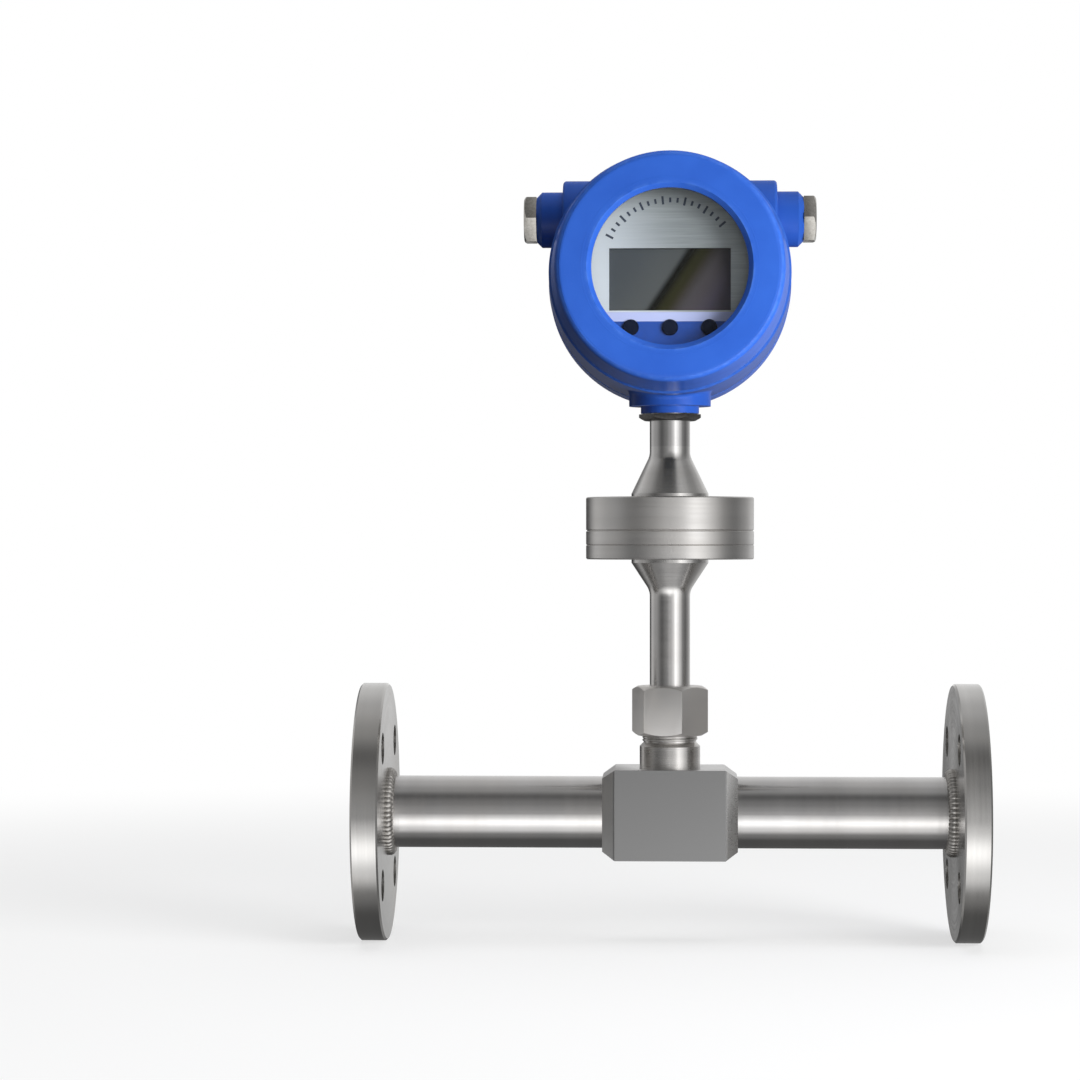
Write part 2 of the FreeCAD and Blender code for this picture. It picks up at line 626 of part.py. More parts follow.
def hex_prism(body, flats, foot, height, turn="0"):
    sketch = new_sketch(body, "XY_Plane", shift=("0", "0", foot))
    draw_loop(sketch, hexagon(flats, turn))
    extrude(body, sketch, height)


def make_compression_nut():
    body = stem_body("compression_nut")
    hex_prism(body, NUT_FLATS, NUT_FOOT, "nut_height", turn="(0 - nut_turn)")
    thread_r = f"({STUB_THREAD_R} + thread_gap)"
    back_r = f"({PROBE_R} + back_ferrule_wall + thread_gap)"
    bore = [
        ("0", f"{NUT_FOOT} - cut_over"),
        (thread_r, f"{NUT_FOOT} - cut_over"),
        (thread_r, FRONT_FERRULE_TOP),
        (back_r, FRONT_FERRULE_TOP),
        (back_r, f"{BACK_FERRULE_TOP} - ferrule_seat"),
        (f"{back_r} - ferrule_seat", BACK_FERRULE_TOP),
        (PROBE_HOLE, BACK_FERRULE_TOP),
        (PROBE_HOLE, f"{NUT_TOP} + cut_over"),
        ("0", f"{NUT_TOP} + cut_over"),
    ]
    cuts = [bore, corner_cut(NUT_FLATS, NUT_FOOT, "+"), corner_cut(NUT_FLATS, NUT_TOP, "-")]
    spin(body, "Z", cuts, kind="Groove")


def make_probe():
    turned(stem_body("probe_tube"), "Z", washer_loop(PROBE_BORE, PROBE_R, "probe_end_height", PROBE_TOP))
    face = "probe_end_height - tip_thick"
    tip = stem_body("sensor_tip")
    turned(tip, "Z", [
        ("0", face),
        (f"{PROBE_R} - disc_edge", face),
        (PROBE_R, f"{face} + disc_edge"),
        (PROBE_R, "probe_end_height"),
        (PROBE_BORE, "probe_end_height"),
        (PROBE_BORE, "probe_end_height + tip_spigot"),
        ("0", "probe_end_height + tip_spigot"),
    ])
    pin_hole = new_sketch(tip, "XY_Plane", shift=("0", "0", face))
    for side in ("-pin_spacing / 2", "pin_spacing / 2"):
        draw_circle(pin_hole, side, "0", "pin_d / 2")
    extrude(tip, pin_hole, "pin_seat", kind="Pocket", reverse=True)
    point = f"{face} - pin_length"
    for label, sign in (("heated_sensor_pin", "-"), ("reference_sensor_pin", "+")):
        body = new_body(label, x=f"{STEM_X} {sign} pin_spacing / 2")
        turned(body, "Z", washer_loop("0", "pin_d / 2", point, f"{face} + pin_seat"))
        round_edges(body, "pin_d / 2 - pin_flat", ring_edge("Z", "pin_d / 2", point))


def make_sensor_leads():
    body = stem_body("sensor_leads")
    foot = "probe_end_height + tip_spigot"
    sketch = new_sketch(body, "XY_Plane", shift=("0", "0", foot))
    for x in ("-lead_offset", "lead_offset"):
        for y in ("-lead_offset", "lead_offset"):
            draw_circle(sketch, x, y, "lead_d / 2")
    extrude(body, sketch, f"{HEAD_Z} - {SOCKET_FOOT} - lead_gap - ({foot})")


def make_neck_flanges():
    edge_r = f"({DISC_R} - disc_edge)"
    line_mid = f"({LOWER_DISC} + lower_disc_thick / 2)"
    line_r = f"({DISC_R} - disc_line_depth)"
    groove_in = f"({SEAL_R} - seal_width / 2 - seal_groove_slack)"
    groove_out = f"({SEAL_R} + seal_width / 2 + seal_groove_slack)"
    groove_floor = f"{DISC_JOINT} - seal_groove_depth"
    lower = stem_body("lower_neck_flange")
    turned(lower, "Z", [
        (PROBE_BORE, PROBE_TOP),
        (PROBE_R, PROBE_TOP),
        (PROBE_R, "cone_foot_height"),
        (HUB_R, LOWER_HUB),
        (HUB_R, LOWER_DISC),
        (edge_r, LOWER_DISC),
        (DISC_R, f"{LOWER_DISC} + disc_edge"),
        (DISC_R, f"{line_mid} - disc_line_width / 2"),
        (line_r, line_mid),
        (DISC_R, f"{line_mid} + disc_line_width / 2"),
        (DISC_R, f"{DISC_JOINT} - disc_edge"),
        (edge_r, DISC_JOINT),
        (groove_out, DISC_JOINT),
        (groove_out, groove_floor),
        (groove_in, groove_floor),
        (groove_in, DISC_JOINT),
        (PROBE_BORE, DISC_JOINT),
    ])
    round_edges(lower, "cone_blend", ring_edge("Z", PROBE_R, "cone_foot_height"))
    tapped = new_sketch(lower, "XY_Plane", shift=("0", "0", DISC_JOINT))
    draw_circle(tapped, NECK_SCREW_R, "0", "neck_screw_d / 2")
    drilled = extrude(lower, tapped, "neck_screw_grip", kind="Pocket")
    repeat_round(lower, [drilled], "Z", NECK_SCREWS)

    upper = stem_body("upper_neck_flange")
    turned(upper, "Z", [
        (PROBE_BORE, DISC_JOINT),
        (edge_r, DISC_JOINT),
        (DISC_R, f"{DISC_JOINT} + disc_edge"),
        (DISC_R, f"{UPPER_DISC_TOP} - disc_edge"),
        (edge_r, UPPER_DISC_TOP),
        (HUB_R, UPPER_DISC_TOP),
        (HUB_R, UPPER_CONE),
        (PROBE_R, UPPER_CONE_TOP),
        (PROBE_R, NECK_TUBE_FOOT),
        (PROBE_BORE, NECK_TUBE_FOOT),
    ])
    round_edges(upper, "cone_blend", ring_edge("Z", PROBE_R, UPPER_CONE_TOP))
    screw_hole = "(neck_screw_d / 2 + neck_screw_gap)"
    head_hole = "(neck_head_d / 2 + neck_head_gap)"
    seat = f"({UPPER_DISC_TOP} - neck_head_height - neck_head_sink)"
    drilled = spin(upper, "Z", [[
        ("0", f"{DISC_JOINT} - cut_over"),
        (screw_hole, f"{DISC_JOINT} - cut_over"),
        (screw_hole, seat),
        (head_hole, seat),
        (head_hole, f"{UPPER_DISC_TOP} + cut_over"),
        ("0", f"{UPPER_DISC_TOP} + cut_over"),
    ]], kind="Groove", shift=(NECK_SCREW_R, "0", "0"))
    repeat_round(upper, [drilled], "Z", NECK_SCREWS)

    seal = stem_body("neck_seal")
    turned(seal, "Z", washer_loop(f"{SEAL_R} - seal_width / 2", f"{SEAL_R} + seal_width / 2",
                                  groove_floor, DISC_JOINT))
    screws = stem_body("neck_flange_screws")
    head_top = f"{seat} + neck_head_height"
    one = spin(screws, "Z", [[
        ("0", f"{DISC_JOINT} - neck_screw_grip"),
        ("neck_screw_d / 2", f"{DISC_JOINT} - neck_screw_grip"),
        ("neck_screw_d / 2", seat),
        ("neck_head_d / 2", seat),
        ("neck_head_d / 2", head_top),
        ("0", head_top),
    ]], shift=(NECK_SCREW_R, "0", "0"))
    socket = new_sketch(screws, "XY_Plane", shift=(NECK_SCREW_R, "0", head_top))
    draw_loop(socket, hexagon("neck_key_flats"))
    recess = extrude(screws, socket, "neck_key_depth", kind="Pocket")
    repeat_round(screws, [one, recess], "Z", NECK_SCREWS)


def make_neck_tube():
    top = f"{HEAD_Z} + {STEM_END}"
    turned(stem_body("neck_tube"), "Z", washer_loop(PROBE_BORE, PROBE_R, NECK_TUBE_FOOT, top))
    nut = stem_body("neck_lock_nut")
    hex_prism(nut, "lock_nut_flats", LOCK_NUT_FOOT, "lock_nut_height")
    nut_top = f"{LOCK_NUT_FOOT} + lock_nut_height"
    spin(nut, "Z", [
        washer_loop("0", PROBE_R, f"{LOCK_NUT_FOOT} - cut_over", f"{nut_top} + cut_over"),
        corner_cut("lock_nut_flats", LOCK_NUT_FOOT, "+"),
    ], kind="Groove")


def post_points():
    # The board posts: one at the top and the rest evenly round the head axis.
    step = 360 / POSTS
    return [(f"{POST_R} * cos({90 + step * k} deg)", f"{POST_R} * sin({90 + step * k} deg)")
            for k in range(POSTS)]


def draw_posts(body, radius, station):
    # XZ sketches face -Y, so a station along +Y is a shift the other way.
    sketch = new_sketch(body, "XZ_Plane", shift=("0", "0", f"-({station})"))
    for across, up in post_points():
        draw_circle(sketch, across, up, radius)
    return sketch


def make_housing():
    body = head_body("housing")
    turned(body, "Y", [
        ("0", FRONT_NECK_END),
        (f"{FRONT_THREAD_R} - drum_edge", FRONT_NECK_END),
        (FRONT_THREAD_R, f"{FRONT_NECK_END} + drum_edge"),
        (FRONT_THREAD_R, "-drum_front"),
        (f"{DRUM_FRONT_R} - drum_edge", "-drum_front"),
        (DRUM_FRONT_R, "drum_edge - drum_front"),
        (DRUM_REAR_R, "drum_rear - drum_edge"),
        (f"{DRUM_REAR_R} - drum_edge", "drum_rear"),
        (REAR_THREAD_R, "drum_rear"),
        (REAR_THREAD_R, f"{REAR_NECK_END} - drum_edge"),
        (f"{REAR_THREAD_R} - drum_edge", REAR_NECK_END),
        ("0", REAR_NECK_END),
    ])
    # Cable bosses, turned about the cable axis
    cable_axis = ("0", CABLE_HEIGHT, f"-{CABLE_BACK}")
    half = [
        (CABLE_BOSS_R, CABLE_BOSS_END),
        (CABLE_NECK_R, CABLE_BOSS_END),
        (CABLE_NECK_R, f"{CABLE_NECK_END} - cable_neck_cone"),
        (f"{CABLE_NECK_R} - cable_neck_cone", CABLE_NECK_END),
        ("0", CABLE_NECK_END),
    ]
    mirrored = [(r, f"-({along})") for r, along in reversed(half)]
    spin(body, "X", [mirrored + half], shift=cable_axis)
    # Bottom boss, in two steps
    for diameter, reach in (("boss_d", f"{HEAD_DROP} - boss_step_height"), ("boss_step_d", HEAD_DROP)):
        foot = new_sketch(body, "XY_Plane")
        draw_circle(foot, "0", "0", f"{diameter} / 2")
        extrude(body, foot, reach, reverse=True)
    round_edges(body, "casting_round", low_seam)
    round_edges(body, "cable_boss_round", ring_edge("X", CABLE_BOSS_R, CABLE_BOSS_END, f"-{CABLE_BOSS_END}"))
    # One chamber, with a ledge that carries the boards
    spin(body, "Y", [[
        ("0", f"{FRONT_NECK_END} - cut_over"),
        (FRONT_CAVITY_R, f"{FRONT_NECK_END} - cut_over"),
        (FRONT_CAVITY_R, "-ledge_front"),
        (LEDGE_R, "-ledge_front"),
        (LEDGE_R, LEDGE_BACK),
        (REAR_CAVITY_R, LEDGE_BACK),
        (REAR_CAVITY_R, f"{REAR_NECK_END} + cut_over"),
        ("0", f"{REAR_NECK_END} + cut_over"),
    ]], kind="Groove")
    extrude(body, draw_posts(body, "post_d / 2", "-ledge_front"), "front_post")
    extrude(body, draw_posts(body, "post_d / 2", LEDGE_BACK), "rear_post", reverse=True)
    holes = draw_posts(body, "post_hole_d / 2", MAIN_BOARD_REAR)
    extrude(body, holes, "front_post + ledge_thick + rear_post + cut_over", kind="Pocket")
    # Cable passage with a gland pocket at each end
    half = [
        (f"{GLAND_R} - gland_seat", f"{CABLE_NECK_END} - gland_pocket"),
        (GLAND_R, f"{CABLE_NECK_END} - gland_pocket"),
        (GLAND_R, f"{CABLE_NECK_END} + cut_over"),
        ("0", f"{CABLE_NECK_END} + cut_over"),
    ]
    mirrored = [(r, f"-({along})") for r, along in reversed(half)]
    spin(body, "X", [mirrored + half], kind="Groove", shift=cable_axis)
    # Threaded hole for the stem, and the grub screw that holds it
    stem_r = f"({PROBE_R} + swivel_clearance)"
    stem_hole = washer_loop("0", stem_r, f"-({HEAD_DROP} + cut_over)", f"{STEM_END} + cut_over")
    spin(body, "Z", [stem_hole], kind="Groove")
    grub = new_sketch(body, "XZ_Plane")
    draw_circle(grub, "0", f"set_screw_rise - {HEAD_DROP}", "set_screw_d / 2")
    extrude(body, grub, "boss_d / 2 + cut_over", kind="Pocket")


def low_seam(edge):
    # The seam where the bottom boss leaves the drum: neither a circle nor a line, and below the axis.
    return not isinstance(edge.Curve, (Part.Circle, Part.Line)) and edge.BoundBox.ZMax < 0


def make_set_screw():
    body = head_body("neck_set_screw")
    tip = f"{PROBE_R} + swivel_clearance + set_screw_tip"
    outer = "boss_d / 2 - set_screw_sink"
    turned(body, "Y", [
        ("0", tip), ("set_screw_d / 2", tip), ("set_screw_d / 2", outer), ("0", outer),
    ], shift=("0", "0", f"set_screw_rise - {HEAD_DROP}"))


def make_front_cover():
    thread_r = f"({FRONT_THREAD_R} + thread_gap)"
    recess_r = f"({FRONT_THREAD_R} + cover_seal_d + 2 * cover_seal_gap)"
    body = head_body("front_cover")
    turned(body, "Y", [
        (f"{WINDOW_R} + window_bevel", FRONT_FACE),
        (COVER_FACE_R, FRONT_FACE),
        (SKIRT_R, SKIRT_END),
        (recess_r, SKIRT_END),
        (recess_r, f"{SKIRT_END} - cover_seal_recess"),
        (thread_r, f"{SKIRT_END} - cover_seal_recess"),
        (thread_r, GLASS_POCKET_END),
        (GLASS_POCKET_R, GLASS_POCKET_END),
        (GLASS_POCKET_R, LIP_BACK),
        (WINDOW_R, LIP_BACK),
        (WINDOW_R, f"{FRONT_FACE} + window_bevel"),
    ])
    round_edges(body, "cover_edge_r", ring_edge("Y", COVER_FACE_R, FRONT_FACE))
    turned(head_body("window_gasket"), "Y", washer_loop(WINDOW_R, GLASS_R, LIP_BACK, GLASS_FRONT))
    turned(head_body("window_glass"), "Y", washer_loop("0", GLASS_R, GLASS_FRONT, GLASS_REAR))
    turned(head_body("glass_retaining_ring"), "Y",
           washer_loop(f"{WINDOW_R} + ring_lap", f"{GLASS_POCKET_R} - thread_gap", GLASS_REAR, RING_REAR))


def make_cover_seal(label, thread_r, station):
    ring = doc.addObject("Part::Torus", label)
    ring.Label = label
    ring.Placement = FreeCAD.Placement(FreeCAD.Vector(), FreeCAD.Rotation(FreeCAD.Vector(1, 0, 0), 90))
    bind(ring, "Radius1", f"{thread_r} + cover_seal_gap + cover_seal_d / 2")
    bind(ring, "Radius2", "cover_seal_d / 2")
    bind(ring, "Placement.Base.x", STEM_X)
    bind(ring, "Placement.Base.y", station)
    bind(ring, "Placement.Base.z", HEAD_Z)
    subparts.append(ring)


def make_rear_cover():
    thread_r = f"({REAR_THREAD_R} + thread_gap)"
    recess_r = f"({REAR_THREAD_R} + cover_seal_d + 2 * cover_seal_gap)"
    dish_r = f"({REAR_FACE_R} - rear_rim)"
    dish_floor = f"{REAR_FACE} - rear_dish_depth"
    body = head_body("rear_cover")
    turned(body, "Y", [
        ("0", REAR_FLOOR),
        (thread_r, REAR_FLOOR),
        (thread_r, f"{REAR_SKIRT_END} + cover_seal_recess"),
        (recess_r, f"{REAR_SKIRT_END} + cover_seal_recess"),
        (recess_r, REAR_SKIRT_END),
        (REAR_SKIRT_R, REAR_SKIRT_END),
        (REAR_FACE_R, REAR_FACE),
        (f"{dish_r} + rear_dish_bevel", REAR_FACE),
        (dish_r, dish_floor),
        ("0", dish_floor),
    ])
    round_edges(body, "rear_cover_edge_r", ring_edge("Y", REAR_FACE_R, REAR_FACE))


def make_board(label, front):
    body = head_body(label)
    turned(body, "Y", washer_loop("0", BOARD_R, front, f"{front} + board_thick"))
    extrude(body, draw_posts(body, "board_hole_d / 2", front), "board_thick + cut_over", kind="Pocket")


def make_electronics():
    make_board("main_board", MAIN_BOARD_FRONT)
    make_board("display_board", DISPLAY_BOARD_FRONT)
    socket = head_body("sensor_socket")
    plan = new_sketch(socket, "XY_Plane", shift=("0", "0", f"-{SOCKET_FOOT}"))
    draw_loop(plan, rectangle("-socket_width / 2", MAIN_BOARD_REAR, "socket_width / 2", "socket_rear"))
    extrude(socket, plan, "socket_height")

    at_post = ("0", "0", POST_R)
    stud_r = "post_hole_d / 2"
    standoffs = head_body("display_standoffs")
    one = spin(standoffs, "Y", [[
        ("0", DISPLAY_BOARD_REAR),
        ("standoff_d / 2", DISPLAY_BOARD_REAR),
        ("standoff_d / 2", MAIN_BOARD_FRONT),
        (stud_r, MAIN_BOARD_FRONT),
        (stud_r, f"{MAIN_BOARD_REAR} + standoff_stud"),
        ("0", f"{MAIN_BOARD_REAR} + standoff_stud"),
    ]], shift=at_post)
    repeat_round(standoffs, [one], "Y", POSTS)
    tapped = draw_posts(standoffs, stud_r, DISPLAY_BOARD_REAR)
    extrude(standoffs, tapped, "screw_grip", kind="Pocket")

    spacers = head_body("display_spacers")
    tube = washer_loop("board_hole_d / 2", "standoff_d / 2", FACEPLATE_REAR, DISPLAY_BOARD_FRONT)
    one = spin(spacers, "Y", [tube], shift=at_post)
    repeat_round(spacers, [one], "Y", POSTS)

    screws = head_body("display_screws")
    one = spin(screws, "Y", [[
        ("0", f"{FACEPLATE_FRONT} - screw_head_height"),
        ("screw_head_d / 2", f"{FACEPLATE_FRONT} - screw_head_height"),
        ("screw_head_d / 2", FACEPLATE_FRONT),
        (stud_r, FACEPLATE_FRONT),
        (stud_r, f"{DISPLAY_BOARD_REAR} + screw_grip"),
        ("0", f"{DISPLAY_BOARD_REAR} + screw_grip"),
    ]], shift=at_post)
    repeat_round(screws, [one], "Y", POSTS)


def make_display():
    plate = head_body("faceplate")
    turned(plate, "Y", washer_loop("0", f"{FRONT_CAVITY_R} - faceplate_gap", FACEPLATE_FRONT, FACEPLATE_REAR))
    cuts = draw_posts(plate, "board_hole_d / 2", FACEPLATE_FRONT)
    draw_loop(cuts, rectangle(f"-{LCD_HALF_WIDTH}", f"-(lcd_drop + {LCD_HALF_HEIGHT})",
                              LCD_HALF_WIDTH, f"{LCD_HALF_HEIGHT} - lcd_drop"))
    for x in (f"-{KEY_STEP}", "0", KEY_STEP):
        draw_circle(cuts, x, f"-{KEY_DROP}", "key_d / 2 + key_gap")
    extrude(plate, cuts, "faceplate_thick + cut_over", kind="Pocket")

    module = head_body("lcd_module")
    frame = new_sketch(module, "XZ_Plane", shift=("0", "0", f"-({DISPLAY_BOARD_FRONT})"))
    half_width, half_height = f"({LCD_HALF_WIDTH} + lcd_border)", f"({LCD_HALF_HEIGHT} + lcd_border)"
    draw_loop(frame, rectangle(f"-{half_width}", f"-(lcd_drop + {half_height})",
                               half_width, f"{half_height} - lcd_drop"))
    extrude(module, frame, "spacer_length - lcd_gap")

    switches = head_body("key_switches")
    feet = new_sketch(switches, "XZ_Plane", shift=("0", "0", f"-({DISPLAY_BOARD_FRONT})"))
    for x in (f"-{KEY_STEP}", "0", KEY_STEP):
        draw_loop(feet, rectangle(f"{x} - switch_size / 2", f"-({KEY_DROP} + switch_size / 2)",
                                  f"{x} + switch_size / 2", f"switch_size / 2 - {KEY_DROP}"))
    extrude(switches, feet, "switch_depth")

    collar_front = f"{FACEPLATE_REAR} + key_gap"
    for label, x in (("left_key", f"-{KEY_STEP}"), ("middle_key", "0"), ("right_key", KEY_STEP)):
        key = head_body(label)
        turned(key, "Y", [
            ("0", f"{FACEPLATE_FRONT} - key_proud"),
            ("key_d / 2", f"{FACEPLATE_FRONT} - key_proud"),
            ("key_d / 2", collar_front),
            ("key_collar_d / 2", collar_front),
            ("key_collar_d / 2", f"{collar_front} + key_collar_thick"),
            ("0", f"{collar_front} + key_collar_thick"),
        ], shift=(x, "0", f"-{KEY_DROP}"))


def terminal_places():
    return [f"({k} - {(TERMINALS - 1) / 2}) * terminal_pitch" for k in range(TERMINALS)]


def make_terminals():
    make_board("terminal_board", TERMINAL_BOARD_FRONT)
    screws = head_body("terminal_board_screws")
    seat = TERMINAL_BOARD_REAR
    one = spin(screws, "Y", [[
        ("0", f"{TERMINAL_BOARD_FRONT} - screw_grip"),
        ("post_hole_d / 2", f"{TERMINAL_BOARD_FRONT} - screw_grip"),
        ("post_hole_d / 2", seat),
        ("screw_head_d / 2", seat),
        ("screw_head_d / 2", f"{seat} + screw_head_height"),
        ("0", f"{seat} + screw_head_height"),
    ]], shift=("0", "0", POST_R))
    repeat_round(screws, [one], "Y", POSTS)

    block = head_body("terminal_block")
    outline = new_sketch(block, "XZ_Plane", shift=("0", "0", f"-({seat})"))
    draw_loop(outline, rectangle("-terminal_width / 2", "-(terminal_drop + terminal_height / 2)",
                                 "terminal_width / 2", "terminal_height / 2 - terminal_drop"))
    extrude(block, outline, "terminal_depth", reverse=True)
    floor = f"({TERMINAL_REAR} - terminal_well_depth)"
    wells = new_sketch(block, "XZ_Plane", shift=("0", "0", f"-({TERMINAL_REAR})"))
    for x in terminal_places():
        draw_circle(wells, x, "-terminal_drop", "terminal_well_d / 2")
    extrude(block, wells, "terminal_well_depth", kind="Pocket", reverse=True)
    entries = new_sketch(block, "XY_Plane", shift=("0", "0", "-(terminal_drop + terminal_height / 2)"))
    for x in terminal_places():
        draw_loop(entries, rectangle(f"{x} - wire_entry / 2", f"{floor} - wire_entry / 2",
                                     f"{x} + wire_entry / 2", f"{floor} + wire_entry / 2"))
    extrude(block, entries, "wire_entry_depth", kind="Pocket", reverse=True)

    clamps = head_body("terminal_screws")
    sketch = new_sketch(clamps, "XZ_Plane", shift=("0", "0", f"-{floor}"))
    for x in terminal_places():
        draw_circle(sketch, x, "-terminal_drop", "terminal_screw_d / 2")
    extrude(clamps, sketch, "terminal_screw_length", reverse=True)
    top = f"({floor} + terminal_screw_length)"
    slots = new_sketch(clamps, "XZ_Plane", shift=("0", "0", f"-{top}"))
    draw_loop(slots, rectangle("-terminal_width / 2", "-(terminal_drop + terminal_slot / 2)",
                               "terminal_width / 2", "terminal_slot / 2 - terminal_drop"))
    extrude(clamps, slots, "terminal_slot", kind="Pocket", reverse=True)


def gland_body(side, piece):
    # A gland piece is modelled along local +X and turned round for the left-hand entry.
    return new_body(f"{side}_gland_{piece}", x=STEM_X, y=CABLE_BACK, z=f"{HEAD_Z} + {CABLE_HEIGHT}",
                    half_turn=side == "left")


def make_gland(side):
    end = CABLE_NECK_END
    shank_r = f"{GLAND_R} - thread_gap"
    nut_flats = "(gland_thread_d + 2 * gland_nut_lap)"
    shank_end = f"({end} - gland_nut_shank)"
    washer_end = f"({shank_end} - gland_washer_thick)"
    nut = gland_body(side, "nut")
    outer = f"{end} + gland_nut_proud"
    flats = new_sketch(nut, "YZ_Plane", shift=("0", "0", end))
    draw_loop(flats, hexagon(nut_flats))
    extrude(nut, flats, "gland_nut_proud")
    spin(nut, "X", [washer_loop("0", shank_r, shank_end, end)])
    spin(nut, "X", [
        washer_loop("0", "gland_nut_bore_d / 2", f"{shank_end} - cut_over", f"{outer} + cut_over"),
        corner_cut(nut_flats, outer, "-"),
    ], kind="Groove")
    turned(gland_body(side, "washer"), "X",
           washer_loop("gland_nut_bore_d / 2", shank_r, washer_end, shank_end))
    turned(gland_body(side, "seal"), "X",
           washer_loop("gland_seal_bore_d / 2", shank_r, f"{end} - gland_pocket", washer_end))


def make_meter():
    for end, far_end in (("inlet", False), ("outlet", True)):
        make_flange(f"{end}_flange", far_end)
        make_pipe(f"{end}_pipe", far_end)
    make_flange_welds()
    make_sensor_block()
    make_probe_stub()
    make_ferrules()
    make_compression_nut()
    make_probe()
    make_sensor_leads()
    make_neck_flanges()
    make_neck_tube()
    make_housing()
    make_set_screw()
    make_electronics()
    make_display()
    make_terminals()
    make_gland("left")
    make_gland("right")
    make_front_cover()
    seal_room = "(cover_seal_recess - cover_seal_d / 2 - cover_seal_gap)"
    make_cover_seal("front_cover_seal", FRONT_THREAD_R, f"{SKIRT_END} - {seal_room}")
    make_rear_cover()
    make_cover_seal("rear_cover_seal", REAR_THREAD_R, f"{REAR_SKIRT_END} + {seal_room}")


def check_and_write():
    doc.recompute()
    for thing in doc.Objects:
        if "Invalid" in thing.State or "Error" in thing.State:
            raise RuntimeError(f"{thing.Label} failed: {thing.State}")
    for part in subparts:
        if part.Shape.isNull() or not part.Shape.isValid() or not part.Shape.Solids:
            raise RuntimeError(f"{part.Label} has no valid solid")
    os.makedirs("parts", exist_ok=True)
    for part in subparts:
        part.Shape.exportStep(f"parts/{part.Label}.step")
        print(f"{part.Label}: {len(part.Shape.Solids)} solid(s), {part.Shape.Volume:.1f} mm3")


make_meter()
check_and_write()
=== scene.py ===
import math
import bmesh
import bpy
from mathutils import Matrix, Vector
from mathutils.bvhtree import BVHTree
from mathutils.interpolate import poly_3d_calc


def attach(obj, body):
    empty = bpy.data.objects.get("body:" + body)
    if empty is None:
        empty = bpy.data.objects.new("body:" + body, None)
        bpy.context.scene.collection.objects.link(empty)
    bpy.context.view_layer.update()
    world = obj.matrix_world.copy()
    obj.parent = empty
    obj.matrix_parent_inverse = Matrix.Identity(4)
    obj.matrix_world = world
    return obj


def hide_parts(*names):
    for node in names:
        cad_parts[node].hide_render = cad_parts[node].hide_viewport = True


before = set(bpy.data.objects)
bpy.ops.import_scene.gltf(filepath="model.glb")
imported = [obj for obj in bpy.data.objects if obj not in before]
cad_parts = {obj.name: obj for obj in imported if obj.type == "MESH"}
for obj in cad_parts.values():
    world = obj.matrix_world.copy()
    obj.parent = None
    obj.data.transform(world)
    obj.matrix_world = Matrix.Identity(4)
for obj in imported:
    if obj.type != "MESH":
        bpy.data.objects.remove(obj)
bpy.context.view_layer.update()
scene = bpy.context.scene
print("frame loaded:", len(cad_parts), "nodes")

mm = 0.001
quarterTurn = math.pi / 2
white = (1.0, 1.0, 1.0, 1.0)
headCentre = (140 * mm, 0.0, 239.2 * mm)   # the head's axis runs along y through this point
stemCentre = (140 * mm, 0.0, 0.0)          # the stem's axis runs along z
pipeCentre = (0.0, 0.0, 0.0)               # the pipe's axis runs along x

# for each axis a point on it, and the turn that lays it on z
axes = {
    "x": (pipeCentre, (0.0, -quarterTurn, 0.0)),
    "y": (headCentre, (quarterTurn, 0.0, 0.0)),
    "z": (stemCentre, (0.0, 0.0, 0.0)),
}


# small helpers for node trees

def feed(tree, socket, value):
    if isinstance(value, bpy.types.NodeSocket):
        tree.links.new(value, socket)
    else:
        socket.default_value = value


def put(tree, kind, inputs=None, **settings):
    node = tree.nodes.new(kind)
    for name, value in settings.items():
        setattr(node, name, value)
    for name, value in (inputs or {}).items():
        feed(tree, node.inputs[name], value)
    return node


def calc(tree, operation, *values, clamp=False):
    node = put(tree, "ShaderNodeMath", operation=operation, use_clamp=clamp)
    for socket, value in zip(node.inputs, values):
        feed(tree, socket, value)
    return node.outputs[0]


def times(tree, first, second):
    return calc(tree, "MULTIPLY", first, second)


def plus(tree, first, second):
    return calc(tree, "ADD", first, second)


def inverse(tree, mask):
    return calc(tree, "SUBTRACT", 1.0, mask)


def between(tree, value, low, high):
    return times(tree, calc(tree, "GREATER_THAN", value, low), calc(tree, "LESS_THAN", value, high))


def remap(tree, value, low, high, newLow=0.0, newHigh=1.0, smooth=False):
    kind = "SMOOTHSTEP" if smooth else "LINEAR"
    return put(tree, "ShaderNodeMapRange", {
        0: value, "From Min": low, "From Max": high, "To Min": newLow, "To Max": newHigh},
        interpolation_type=kind).outputs[0]


def mixValues(tree, amount, first, second):
    return put(tree, "ShaderNodeMix", {"Factor": amount, "A": first, "B": second}).outputs[0]


def blendColours(tree, amount, first, second, mode="MIX"):
    # 0, 6, 7 and 2 are the node's sockets for colours, because its names are used for each kind of value
    node = put(tree, "ShaderNodeMix", {0: amount, 6: first, 7: second}, data_type="RGBA", blend_type=mode)
    return node.outputs[2]


def noise(tree, vector, scale, detail=3.0, rough=0.55):
    return put(tree, "ShaderNodeTexNoise", {
        "Vector": vector, "Scale": scale, "Detail": detail, "Roughness": rough}).outputs[0]


def splitUp(tree, vector):
    return put(tree, "ShaderNodeSeparateXYZ", {0: vector}).outputs


def mapped(tree, vector, **how):
    return put(tree, "ShaderNodeMapping", {"Vector": vector, **how}).outputs[0]


def scaled(colour, share):
    return tuple(share * c for c in colour)


def rgba(colour):
    return (*colour, 1.0)


noiseSpan = (0.3, 0.7)   # where most of a noise's values lie


def mottled(tree, value, dark, light):
    return blendColours(tree, remap(tree, value, *noiseSpan), rgba(dark), rgba(light))


def centredOn(tree, vector, centre):
    return mapped(tree, vector, Location=scaled(centre, -1.0))


def turnTo(tree, vector, axis):
    # puts the piece's own axis on z, with its centre at the origin
    centre, turn = axes[axis]
    return mapped(tree, centredOn(tree, vector, centre), Rotation=turn)


